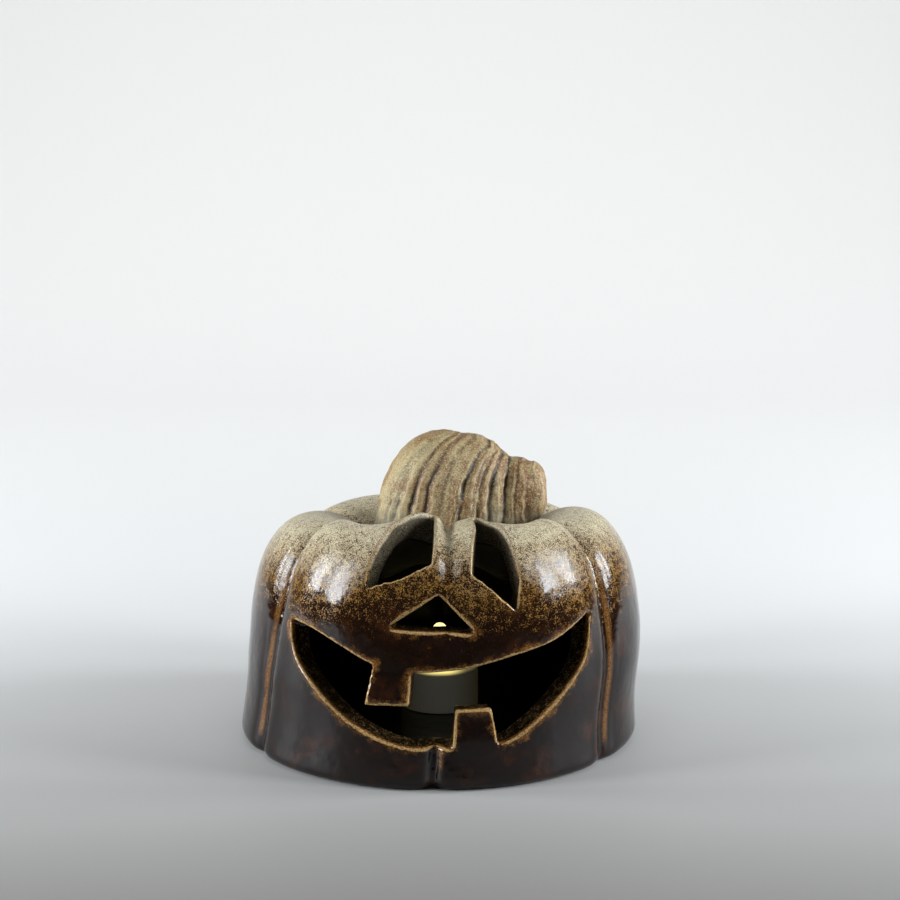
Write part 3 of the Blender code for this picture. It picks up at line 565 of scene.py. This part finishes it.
def distances_to_points(points, goals):
    tree = KDTree(len(goals))
    for index, goal in enumerate(goals.tolist()):
        tree.insert(goal, index)
    tree.balance()
    return np.array([tree.find(p)[2] for p in points.tolist()])


def strip_weights(points, azimuth, groove):
    """Where a golden strip runs beside a groove, and where a shadow is painted into the front groove."""
    height = points[:, 2]
    front = np.abs(azimuth) < HALF_LOBE_DEG
    outer = groove * np.where(points[:, 0] < STRIP_SIDE_X, -1, 1)
    beside = smooth_step(*STRIP_DEG[0], outer) * (1 - smooth_step(*STRIP_DEG[1], outer))
    low = smooth_step(*STRIP_LOW, height) * (1 - smooth_step(*STRIP_HIGH, height))
    low_front = smooth_step(*STRIP_LOW, height) * (1 - smooth_step(*FRONT_NOTCH[2], height))
    in_sight = points[:, 1] < 0
    strip = beside * np.where(front, low_front, low) * in_sight
    shadow = np.exp(-((groove + FRONT_SHADOW[0]) / FRONT_SHADOW[1]) ** 2) * front * low_front
    return strip, shadow


def make_shell(look):
    """The carved body; its values tell how far a point lies from both skins, a cut and a groove."""
    outer, inner = outer_form(), inner_form()
    mesh = cut_shell(outer, inner.copy())
    edges = edge_ends(mesh)
    points = smoothed(coordinates(mesh), edges, SHELL_SMOOTHING)
    place_vertices(mesh, points)
    depth = distances_to_surface(points, outer)
    at_rim = (depth > RIM_DEPTH[0]) & (depth < RIM_DEPTH[1]) & (points[:, 2] > 2 * FOOT_RADIUS)
    turn = between(TURN_DEG, smooth_step(0, CREST_HEIGHT, points[:, 2]))
    lean = between(LEAN, smooth_step(0, LEAN_HEIGHT, points[:, 2]))
    azimuth = np.degrees(np.arctan2(points[:, 0] - lean, -points[:, 1])) - turn
    strip, shadow = strip_weights(points, azimuth, groove_distance(azimuth))
    give_values(mesh, "depth", depth / MM)
    give_values(mesh, "hollow", distances_to_surface(points, inner) / MM)
    give_values(mesh, "rim", distances_to_points(points, points[at_rim]) / MM)
    even = smoothed(points, edges, BULGE_ROUNDS)
    give_values(mesh, "bulge", ((points - even) * normals(mesh)).sum(1) / MM)
    give_values(mesh, "strip", strip)
    give_values(mesh, "shadow", shadow)
    bpy.data.meshes.remove(outer)
    bpy.data.meshes.remove(inner)
    shell = add_object("glazed_shell", mesh)
    finish_piece(shell, look, "lantern", "pumpkin_shell")


# ---- the stem

def stem_stripe(x, z):
    """The place along X, in mm, where the groove through each point would start at the stem's foot."""
    starts, leans, ridges = np.array(STEM_LEANS, float).T
    low, high = np.full(len(x), starts[0]), np.full(len(x), starts[-1])
    for _ in range(STEM_HALVINGS):
        middle = (low + high) / 2
        rise = np.clip((z - STEM_FOOT) / MM / np.interp(middle, starts, ridges), 0, 1)
        reached = middle + np.interp(middle, starts, leans) * (1 - np.sqrt(1 - rise ** 2))
        too_far = reached > x / MM
        high = np.where(too_far, middle, high)
        low = np.where(too_far, low, middle)
    return (low + high) / 2


def stem_form():
    """The stem before its grooves: arched sections one after another along X, closed at both ends."""
    x, low, high, depth = np.array(through(STEM, STEM_STEPS)).T
    widest = low + (high - low) * between(STEM_WIDEST, smooth_step(*STEM_TIP, x))
    angle = np.arange(STEM_AROUND) * 2 * math.pi / STEM_AROUND
    across = np.copysign(np.abs(np.cos(angle)) ** (2 / STEM_FULLNESS), np.cos(angle))
    up = np.copysign(np.abs(np.sin(angle)) ** (2 / STEM_FULLNESS), np.sin(angle))
    reach = np.where(up > 0, (high - widest)[:, None], (widest - low)[:, None])
    rings = np.stack([np.repeat(x[:, None], STEM_AROUND, 1), STEM_Y / MM + depth[:, None] * across,
                      widest[:, None] + reach * up], 2) * MM
    here = np.arange(STEM_AROUND)
    there = (here + 1) % STEM_AROUND
    faces = []
    for base in range(0, (len(x) - 1) * STEM_AROUND, STEM_AROUND):
        after = base + STEM_AROUND
        faces += np.stack([base + here, base + there, after + there, after + here], 1).tolist()
    faces += [here.tolist(), (here + (len(x) - 1) * STEM_AROUND).tolist()]
    mesh = mesh_from("stem_form", rings.reshape(-1, 3), faces)
    face_outwards(mesh)
    return mesh


def stem_depth(stripe, height):
    """How far the folds and the drawn lines sink the surface; they run out towards the ridge."""
    depth = np.zeros(len(stripe))
    for place in STEM_FOLDS:
        depth = np.maximum(depth, np.exp(-((stripe - place) / STEM_FOLD[1]) ** 2) * STEM_FOLD[0])
    lines = np.zeros(len(stripe))
    for place, width, deep in STEM_GROOVES:
        lines = np.maximum(lines, np.exp(-((stripe - place) / width) ** 2) * deep * MM)
    return (depth + lines) * (1 - STEM_RUN_OUT * smooth_step(*STEM_RUN, height))


def make_stem(look):
    """The stem; its values tell which groove a point lies in and how far it stands out."""
    form = stem_form()
    points, outward = coordinates(form), normals(form)
    stripe = stem_stripe(points[:, 0], points[:, 2]) + sum(wobble(points, *each) for each in STEM_DRIFT)
    along = np.stack([stripe, points[:, 1] / MM, points[:, 2] / MM], 1) * STREAK_RATES
    streaks = np.array([noise.noise(Vector(p)) for p in along.tolist()]) * STEM_STREAK
    streaks = streaks + sum(wobble(points, *each) for each in STEM_LUMPS)
    flare = STEM_FLARE * np.exp(-np.maximum(points[:, 2] - STEM_FOOT, 0) / STEM_FLARE_HEIGHT)
    sunk = stem_depth(stripe, points[:, 2]) * (1 + wobble(points, *STEM_UNEVEN))
    place_vertices(form, points + outward * (streaks + flare - sunk)[:, None])
    mesh = remeshed(add_object("stem_form", form), STEM_VOXEL)
    edges = edge_ends(mesh)
    points = smoothed(coordinates(mesh), edges, STEM_SMOOTHING)
    place_vertices(mesh, points)
    give_values(mesh, "stripe", stem_stripe(points[:, 0], points[:, 2]))
    even = smoothed(points, edges, STEM_BULGE_ROUNDS)
    give_values(mesh, "bulge", ((points - even) * normals(mesh)).sum(1) / MM)
    stem = add_object("glazed_stem", mesh)
    finish_piece(stem, look, "lantern", "twisted_stem")


# ---- the tealight

def turned_piece(name, profile):
    """A piece turned about the tealight's axis, from an outline (radius, height) that closes on itself."""
    count = len(profile)
    outline = np.array(profile, float)
    angle = np.arange(TURNED_AROUND) * 2 * math.pi / TURNED_AROUND
    points = np.stack([
        (outline[:, :1] * np.sin(angle)).T, (-outline[:, :1] * np.cos(angle)).T,
        np.repeat(outline[None, :, 1], TURNED_AROUND, 0)], 2).reshape(-1, 3)
    faces = []
    for step in range(TURNED_AROUND):
        here = step * count
        there = (step + 1) % TURNED_AROUND * count
        for i in range(count):
            after = (i + 1) % count
            faces.append((here + i, here + after, there + after, there + i))
    mesh = mesh_from(name, points + np.array(TEALIGHT), faces)
    face_outwards(mesh)
    return add_object(name, mesh)


def shade_turned(piece):
    piece.data.shade_smooth()
    piece.data.set_sharp_from_angle(angle=math.radians(SHARP_DEG))


def make_casing(look):
    rim, dish, lip = CASE_HEIGHT, CASE_HEIGHT - CASE_DISH, CASE_LIP
    hole, inside = LENS_RADIUS + GAP, CASE_RADIUS - CASE_WALL
    (foot_in, foot), (inner_in, inner), (outer_in, outer) = np.array(CASE_EDGES) * MM
    outline = [
        (hole + lip, dish), *arc((CASE_RADIUS - foot_in, dish + foot), (foot, foot), -90, 0, CASE_STEPS[0]),
        *arc((CASE_RADIUS - inner_in, rim - inner), (inner, inner), 180, 90, CASE_STEPS[1]),
        *arc((CASE_RADIUS - outer_in, rim - outer), (outer, outer), 90, 0, CASE_STEPS[2]),
        (CASE_RADIUS, lip), *arc((CASE_RADIUS - lip, lip), (lip, lip), 0, -90, CASE_STEPS[3]),
        (inside, 0), (inside, dish - CASE_WALL), (hole, dish - CASE_WALL),
        *arc((hole + lip, dish - lip), (lip, lip), 180, 90, CASE_STEPS[3])[:-1],
    ]
    casing = turned_piece("moulded_casing", outline)
    shade_turned(casing)
    finish_piece(casing, look, "tealight", "tealight_casing", smooth=False)


def flame_profile(inset):
    foot = CASE_HEIGHT - CASE_DISH - CASE_WALL - GAP
    bulge = CASE_HEIGHT + FLAME_BULGE
    radius = LENS_RADIUS - inset
    return [*arc((0, bulge), (radius, LENS_TOP - inset - bulge), 90, 0, FLAME_STEPS, FLAME_FULLNESS),
            (radius, foot)]


def make_lens(look):
    foot = CASE_HEIGHT - CASE_DISH - CASE_WALL - GAP
    flange = LENS_RADIUS + LENS_FLANGE
    inner = flame_profile(LENS_WALL)
    underside = foot - LENS_FOOT
    outline = [*flame_profile(0), (flange, foot), (flange, underside), (inner[-1][0], underside),
               *inner[-2::-1]]
    lens = turned_piece("flame_bulb", outline)
    shade_turned(lens)
    finish_piece(lens, look, "tealight", "flame_lens", smooth=False)


def finish_piece(obj, look, body, node, smooth=True):
    obj.data.materials.clear()
    obj.data.materials.append(look)
    if smooth:
        obj.data.shade_smooth()
    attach(obj, body)
    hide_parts(node)


# ---- material tools

class Look:
    """A material under construction: each method adds a node and returns its output socket."""

    def __init__(self, name):
        self.material = bpy.data.materials.new(name)
        self.material.use_nodes = True
        self.tree = self.material.node_tree
        self.shader = self.tree.nodes["Principled BSDF"]

    def node(self, kind, **settings):
        made = self.tree.nodes.new(kind)
        for name, value in settings.items():
            setattr(made, name, value)
        return made

    def put(self, socket, value):
        if isinstance(value, bpy.types.NodeSocket):
            self.tree.links.new(value, socket)
        elif isinstance(value, tuple) and len(value) == 3 and socket.type == "RGBA":
            socket.default_value = (*value, 1)
        else:
            socket.default_value = value

    def set(self, **values):
        for name, value in values.items():
            self.put(self.shader.inputs[name.replace("_", " ")], value)

    def place(self):
        return self.node("ShaderNodeTexCoord").outputs["Object"]

    def along(self, axis):
        apart = self.node("ShaderNodeSeparateXYZ")
        self.put(apart.inputs[0], self.place())
        return apart.outputs["XYZ".index(axis)]

    def height(self):
        return self.along("Z")

    def facing_up(self):
        apart = self.node("ShaderNodeSeparateXYZ")
        self.put(apart.inputs[0], self.node("ShaderNodeNewGeometry").outputs["Normal"])
        return apart.outputs[2]

    def attribute(self, name):
        return self.node("ShaderNodeAttribute", attribute_name=name).outputs["Fac"]

    def noise(self, scale, detail=2.0, roughness=0.5):
        made = self.node("ShaderNodeTexNoise")
        self.put(made.inputs["Vector"], self.place())
        self.put(made.inputs["Scale"], float(scale))
        self.put(made.inputs["Detail"], float(detail))
        self.put(made.inputs["Roughness"], float(roughness))
        return made.outputs["Fac"]

    def maths(self, operation, first, second=0.0, third=0.0):
        made = self.node("ShaderNodeMath", operation=operation)
        for socket, value in zip(made.inputs, (first, second, third)):
            self.put(socket, value)
        return made.outputs[0]

    def times(self, first, second):
        return self.maths("MULTIPLY", first, second)

    def spread(self, value, start, end, low=0.0, high=1.0):
        """value from start to end, eased onto low to high."""
        made = self.node("ShaderNodeMapRange", interpolation_type="SMOOTHSTEP")
        names = ("Value", "From Min", "From Max", "To Min", "To Max")
        for name, each in zip(names, (value, start, end, low, high)):
            self.put(made.inputs[name], each)
        return made.outputs[0]

    def spread_evenly(self, value, start, end):
        """value from start to end, put onto 0 to 1."""
        made = self.node("ShaderNodeMapRange")
        for name, each in (("Value", value), ("From Min", start), ("From Max", end)):
            self.put(made.inputs[name], each)
        return made.outputs[0]

    def ramp(self, value, stops):
        """value, from 0 to 1, turned into colours by stops of (place, colour)."""
        made = self.node("ShaderNodeValToRGB")
        self.put(made.inputs[0], value)
        elements = made.color_ramp.elements
        for end, (place, colour) in zip((0, -1), (stops[0], stops[-1])):
            elements[end].position = place
            elements[end].color = (*colour, 1)
        for place, colour in stops[1:-1]:
            elements.new(place).color = (*colour, 1)
        return made.outputs["Color"]

    def mix(self, share, first, second):
        made = self.node("ShaderNodeMix", data_type="RGBA")
        self.put(made.inputs[0], share)
        self.put(made.inputs[6], first)
        self.put(made.inputs[7], second)
        return made.outputs[2]

    def mix_value(self, share, first, second):
        made = self.node("ShaderNodeMix", data_type="FLOAT")
        for place, value in ((0, share), (2, first), (3, second)):
            self.put(made.inputs[place], value)
        return made.outputs[0]

    def bump(self, height, distance, strength=1.0, normal=None):
        made = self.node("ShaderNodeBump")
        self.put(made.inputs["Height"], height)
        self.put(made.inputs["Distance"], distance)
        self.put(made.inputs["Strength"], strength)
        if normal:
            self.put(made.inputs["Normal"], normal)
        return made.outputs[0]


# ---- the glazes

def glaze_height(look):
    """The height that the glaze goes by: it is sandier in clouds, behind, and where it faces up."""
    height = look.height()
    clouds = look.maths("SUBTRACT", look.noise(24, 3, 0.55), 0.5)
    behind = look.spread_evenly(look.along("Y"), -BACK, BACK)
    level = look.times(look.spread(look.facing_up(), 0.60, 0.97, 0.0, LEVEL_SHIFT),
                       look.spread(height, 0.085, 0.100))
    shifted = look.maths("MULTIPLY_ADD", behind, BACK_SHIFT, height)
    shifted = look.maths("MULTIPLY_ADD", clouds, CLOUD_SHIFT, shifted)
    return look.maths("ADD", shifted, level)


def glaze_ground(look, shifted):
    """The colour under the specks."""
    ground = look.ramp(look.spread_evenly(shifted, *GROUND), (
        (0.0, (0.0052, 0.0022, 0.0015)), (0.25, (0.0056, 0.0021, 0.0010)), (0.5, (0.0095, 0.0030, 0.0009)),
        (0.70, (0.019, 0.0068, 0.0018)), (0.86, (0.070, 0.044, 0.020)), (1.0, (0.165, 0.122, 0.070))))
    reddish = look.spread(look.noise(75, 4, 0.62), 0.48, 0.74, 0.0, 0.8)
    return look.mix(reddish, ground, (0.034, 0.0095, 0.0020))


def speck_colour(look, shifted, sandy):
    """Amber specks low down, gold ones on the face and sandy ones on the shoulders."""
    amber, gold, sand = (0.075, 0.025, 0.0042), (0.310, 0.170, 0.040), (0.560, 0.490, 0.330)
    colour = look.mix(sandy, look.mix(look.spread(shifted, *GOLD), amber, gold), sand)
    darker = look.mix(sandy, (0.075, 0.027, 0.0050), (0.120, 0.086, 0.040))
    return look.mix(look.spread(look.noise(2300, 1), 0.42, 0.62, 0.0, 0.8), colour, darker)


def glaze_edges(look, colour, grain, sandy, height, outer_skin):
    """Rusty bands beside cuts, strips and a shadow beside grooves, and gold where the glaze breaks."""
    near = look.maths("MULTIPLY_ADD", look.noise(95, 5, 0.7), 14.0, look.attribute("rim"))
    low = look.times(outer_skin, look.spread(height, 0.070, 0.095, 1.0, 0.0))
    band = look.times(look.spread(near, *BAND_REACH, 0.92, 0.0), low)
    rusty = look.mix(look.spread(grain, 0.44, 0.60), (0.066, 0.021, 0.0036), (0.270, 0.125, 0.028))
    colour = look.mix(band, colour, rusty)

    strip = look.times(look.attribute("strip"), look.spread(look.noise(60, 3, 0.6), 0.34, 0.46))
    strip = look.times(strip, outer_skin)
    stripy = look.mix(look.spread(grain, 0.42, 0.58), (0.060, 0.020, 0.0040), (0.200, 0.092, 0.024))
    colour = look.mix(strip, colour, stripy)
    # Painted shadow: the front groove's low part turned near black
    shadow = look.times(look.attribute("shadow"), 0.92)
    colour = look.mix(shadow, colour, (0.0012, 0.0008, 0.0007))

    stray = look.maths("SUBTRACT", look.noise(350, 3, 0.6), 0.5)
    ragged = look.maths("MULTIPLY_ADD", stray, 0.30, look.attribute("bulge"))
    off_foot = look.times(outer_skin, look.spread(height, 0.006, 0.014))
    golden = look.times(look.spread(ragged, 0.20, 0.29), off_foot)
    breaking = look.mix(sandy, (0.42, 0.270, 0.110), (0.33, 0.275, 0.175))
    breaking = look.mix(look.spread(grain, 0.42, 0.54, 0.85, 0.0), breaking, (0.105, 0.042, 0.010))
    return look.mix(golden, colour, breaking)


def glaze_cuts(look, colour, grain, clusters, height, depth, hollow):
    """The faces of the cuts, painted a dark grey high up as painted shade, and the inside painted near black,
    partly the dark glaze and partly painted shade, with painted glints.
    """
    cut = look.times(look.spread(depth, 1.4, 3.2), look.maths("SUBTRACT", 1.0, hollow))
    # Painted shade: the cut faces of the eyes and nose are a dark speckled grey for the shade on them
    shaded_high_cut = look.mix(look.spread(grain, 0.46, 0.56), (0.105, 0.086, 0.055), (0.020, 0.016, 0.010))
    low_cut = look.mix(look.spread(clusters, 0.53, 0.60), (0.0085, 0.0050, 0.0025), (0.120, 0.075, 0.028))
    colour = look.mix(cut, colour, look.mix(look.spread(height, 0.080, 0.100), low_cut, shaded_high_cut))
    # The inside: near black, partly the dark glaze and partly painted shade, with olive specks as painted
    # glints of the flame's light
    glints = look.spread(look.noise(900, 2), 0.60, 0.70)
    return look.mix(hollow, colour, look.mix(glints, (0.0012, 0.0010, 0.0006), (0.026, 0.019, 0.006)))


def brown_glaze():
    """Iron-brown glaze: sandy on the shoulders, gold specks across the face, near black below."""
    look = Look("brown_glaze")
    height, shifted, depth = look.height(), glaze_height(look), look.attribute("depth")
    sandy = look.spread(shifted, *SAND)
    grain = look.noise(1700, 3, 0.6)
    clusters = look.maths("MULTIPLY_ADD", look.noise(330, 3, 0.6), 0.34, look.times(grain, 0.66))
    least = look.maths("ADD", look.spread(shifted, *SPECKS, 0.70, 0.505),
                       look.spread(shifted, *DENSE_SPECKS, 0.0, -0.070))
    specks = look.spread(clusters, look.maths("SUBTRACT", least, 0.015), look.maths("ADD", least, 0.03))
    outer_skin = look.spread(depth, 2.0, 4.0, 1.0, 0.0)
    hollow = look.spread(look.attribute("hollow"), 0.7, 1.6, 1.0, 0.0)

    colour = look.mix(specks, glaze_ground(look, shifted), speck_colour(look, shifted, sandy))
    colour = glaze_edges(look, colour, grain, sandy, height, outer_skin)
    colour = glaze_cuts(look, colour, grain, clusters, height, depth, hollow)

    speck_roughness = look.spread(specks, 0.0, 1.0, 0.07, look.spread(shifted, *DULL, 0.10, 0.50))
    inner_roughness = look.spread(height, 0.030, 0.050, 0.22, 0.85)
    orange_peel = look.bump(look.noise(110, 2), 0.0007, 0.5)
    relief = look.maths("ADD", grain, look.times(specks, 0.5))
    fine = look.bump(relief, 0.00016, look.spread(shifted, *SAND, 0.10, 0.9), orange_peel)
    look.set(Base_Color=colour, Roughness=look.mix_value(hollow, speck_roughness, inner_roughness),
             Normal=fine, IOR=1.52, Specular_IOR_Level=0.30)
    return look.material


def ash_bands(look, drift):
    """The stem's bands of colour, each at the place in mm where its groove starts."""
    cream, sage, tan = (0.350, 0.270, 0.125), (0.245, 0.212, 0.108), (0.230, 0.146, 0.050)
    pink, brown = (0.245, 0.146, 0.064), (0.100, 0.050, 0.016)
    ochre, dark = (0.165, 0.076, 0.015), (0.034, 0.020, 0.009)
    bands = (
        (-38, tan), (-31, cream), (-25, sage), (-18.5, cream), (-16.5, brown), (-13, tan), (-10.5, tan),
        (-9, brown), (-6.5, pink), (-4.5, cream), (-2, brown), (0, cream), (3, pink), (5.5, tan), (8, dark),
        (9.6, tan), (13, pink), (14.6, brown), (16, cream), (18, ochre), (21, ochre), (22.6, dark),
        (24, dark), (25.5, tan), (28.5, ochre), (30.2, dark), (31.4, cream), (33.5, tan), (36, ochre),
        (42, ochre), (46, pink),
    )
    first, last = bands[0][0], bands[-1][0]
    stripe = look.maths("MULTIPLY_ADD", drift, 5.0, look.attribute("stripe"))
    place = look.spread_evenly(stripe, first, last)
    colour = look.ramp(place, [((x - first) / (last - first), shade) for x, shade in bands])
    patches = look.noise(75, 5, 0.7)
    colour = look.mix(look.spread(patches, 0.515, 0.60, 0.0, 0.85), colour, (0.190, 0.086, 0.016))
    return look.mix(look.spread(patches, 0.47, 0.39, 0.0, 0.7), colour, cream)


def ash_glaze():
    """Dry ash glaze in bands that follow the grooves, with iron left in them."""
    look = Look("ash_glaze")
    drift = look.maths("SUBTRACT", look.noise(70, 3, 0.6), 0.5)
    grain = look.noise(1300, 3, 0.7)
    bulge = look.attribute("bulge")
    colour = ash_bands(look, drift)
    colour = look.mix(look.spread(grain, 0.53, 0.62, 0.0, 0.75), colour, (0.070, 0.036, 0.013))
    colour = look.mix(look.spread(grain, 0.45, 0.37, 0.0, 0.7), colour, (0.54, 0.44, 0.24))
    colour = look.mix(look.spread(bulge, 0.05, 0.25, 0.0, 0.45), colour, (0.50, 0.40, 0.215))
    groove = look.spread(bulge, -0.04, -0.22)
    colour = look.mix(look.times(groove, 0.85), colour, (0.030, 0.018, 0.010))
    smoky = look.mix(look.spread(grain, 0.46, 0.56), (0.040, 0.036, 0.026), (0.18, 0.165, 0.115))
    foot = look.maths("MULTIPLY_ADD", drift, 0.03, look.height())
    colour = look.mix(look.spread(foot, 0.101, 0.116, 0.85, 0.0), colour, smoky)
    wave = look.bump(look.noise(230, 4, 0.65), 0.0012, 0.7)
    look.set(Base_Color=colour, Roughness=look.spread(groove, 0.0, 1.0, 0.58, 0.4),
             Normal=look.bump(grain, 0.00035, 1.0, wave), IOR=1.5)
    return look.material


# ---- plastics and metals

def plastic(name, colour, roughness, grain=900.0):
    look = Look(name)
    clouds = look.noise(90, 2)
    darker = tuple(0.9 * c for c in colour)
    look.set(Base_Color=look.mix(look.spread(clouds, 0.3, 0.7), darker, colour),
             Roughness=look.spread(clouds, 0.3, 0.7, roughness * 0.9, roughness * 1.1),
             Normal=look.bump(look.noise(grain, 2), 0.00005, 0.4))
    return look.material


def lit_plastic():
    """White plastic with a painted glow at its top: emission that stands in for the flame's light shining
    into it.
    """
    look = Look("lit_plastic")
    top = CASE_HIGH.z
    aside = look.maths("ABSOLUTE", look.maths("SUBTRACT", look.along("X"), TEALIGHT.x))
    glow = look.spread(look.height(), *(top - depth for depth in GLOW_DEPTHS))
    glow = look.times(glow, look.spread(aside, *GLOW_REACH, 1.0, 0.12))
    glow = look.maths("MAXIMUM", glow, LEAST_GLOW)
    look.set(Base_Color=look.mix(look.noise(90), (0.86, 0.86, 0.84), (0.90, 0.90, 0.88)), Roughness=0.42,
             Emission_Color=(1.0, 0.84, 0.25), Emission_Strength=look.times(glow, CASE_GLOW),
             Normal=look.bump(look.noise(900), 0.00005, 0.4))
    return look.material


def flame_plastic():
    look = Look("flame_plastic")
    low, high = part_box("flame_lens")
    warm = look.spread(look.height(), low.z, high.z)
    look.set(Base_Color=(1.0, 0.86, 0.5), Roughness=0.3,
             Emission_Color=look.mix(warm, (1.0, 0.70, 0.16), (1.0, 0.86, 0.36)),
             Emission_Strength=FLAME_GLOW)
    return look.material


def epoxy():
    look = Look("led_epoxy")
    look.set(Base_Color=look.mix(look.noise(300), (0.95, 0.8, 0.35), (0.9, 0.7, 0.25)),
             Roughness=0.12, IOR=1.5, Normal=look.bump(look.noise(400), 0.00003, 0.3))
    return look.material


def steel():
    look = Look("bright_steel")
    brushed = look.noise(1400, 2)
    look.set(Base_Color=look.mix(brushed, (0.62, 0.62, 0.60), (0.78, 0.78, 0.76)), Metallic=1.0,
             Roughness=look.spread(brushed, 0.3, 0.7, 0.2, 0.36), Normal=look.bump(brushed, 0.00002, 0.4))
    return look.material


def dress_inner_pieces(white):
    looks = {
        white: ("base_plate", "battery_cover"),
        epoxy(): ("led_emitter",),
        steel(): ("led_anode_lead", "led_cathode_lead", "coin_cell_can", "coin_cell_cap", "positive_contact",
                  "negative_contact"),
        plastic("grey_gasket", (0.2, 0.2, 0.2), 0.6): ("coin_cell_gasket",),
        plastic("black_plastic", (0.04, 0.04, 0.045), 0.5): ("switch_knob",),
    }
    for look, nodes in looks.items():
        for node in nodes:
            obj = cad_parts[node]
            obj.data.materials.clear()
            obj.data.materials.append(look)


# ---- floor, lights and camera

def stage_floor():
    """A sweep, pale behind and painted dark in front as painted shade: flat under the lantern, and curving up
    far behind it.
    """
    bend = FLOOR_BACK - SWEEP_RADIUS
    outline = [(FLOOR_FRONT, 0), (bend, 0)]
    for step in range(1, SWEEP_STEPS + 1):
        angle = math.radians(90 * step / SWEEP_STEPS)
        outline.append((bend + SWEEP_RADIUS * math.sin(angle), SWEEP_RADIUS * (1 - math.cos(angle))))
    outline.append((FLOOR_BACK, FLOOR_RISE))
    points = [(x, y, z) for x in (-FLOOR_HALF_WIDTH, FLOOR_HALF_WIDTH) for y, z in outline]
    count = len(outline)
    faces = [(i, i + 1, count + i + 1, count + i) for i in range(count - 1)]
    floor = add_object("floor", mesh_from("floor", points, faces))
    floor.data.shade_smooth()
    look = Look("pale_floor")
    look.set(Base_Color=look.mix(look.spread(look.along("Y"), *FLOOR_FADE), *FLOOR_COLOURS), Roughness=0.6)
    floor.data.materials.append(look.material)


def softbox(name, azimuth_deg, rise_deg, distance, size, power, colour=(1, 1, 1), aim=(0, 0, LIT_HEIGHT)):
    """An area lamp, placed so many degrees round from the front towards +X, that faces its aim."""
    azimuth, rise = math.radians(azimuth_deg), math.radians(rise_deg)
    lamp = bpy.data.lights.new(name, "AREA")
    lamp.shape = "RECTANGLE"
    lamp.size, lamp.size_y = size
    lamp.energy = power
    lamp.color = colour
    obj = add_object(name, lamp)
    away = Vector((math.cos(rise) * math.sin(azimuth), -math.cos(rise) * math.cos(azimuth), math.sin(rise)))
    obj.location = away * distance
    obj.rotation_euler = (obj.location - Vector(aim)).to_track_quat("Z", "Y").to_euler()


def light_stage():
    world = bpy.data.worlds.new("studio")
    bpy.context.scene.world = world
    world.use_nodes = True
    sky = world.node_tree.nodes["Background"].inputs
    sky["Color"].default_value = WORLD_COLOUR
    sky["Strength"].default_value = WORLD_STRENGTH
    for side, rise in WINDOW_RISES:
        for turn in WINDOW_TURNS:
            softbox("window", side * turn, rise, WINDOW_DISTANCE, WINDOW_SIZE, WINDOW_POWER, DAYLIGHT)
    softbox("top_softbox", 0, 80, 1.6, (1.2, 1.2), 7)
    softbox("backdrop_softbox", 180, 62, 1.3, (3.0, 1.0), 27, aim=(0, 3.2, 0.2))


def set_camera():
    rise = math.radians(CAMERA_RISE_DEG)
    data = bpy.data.cameras.new("camera")
    data.lens = CAMERA_LENS
    camera = add_object("camera", data)
    camera.location = (0, -CAMERA_DISTANCE * math.cos(rise), CAMERA_DISTANCE * math.sin(rise))
    camera.rotation_euler = (math.radians(90 - CAMERA_TILT_DEG), 0, math.radians(CAMERA_TURN_DEG))
    bpy.context.scene.camera = camera


def main():
    set_camera()
    stage_floor()
    light_stage()
    bpy.context.scene.view_settings.view_transform = "Standard"
    white = plastic("white_plastic", (0.82, 0.81, 0.76), 0.42)
    make_shell(brown_glaze())
    make_stem(ash_glaze())
    make_casing(lit_plastic())
    make_lens(flame_plastic())
    dress_inner_pieces(white)


main()
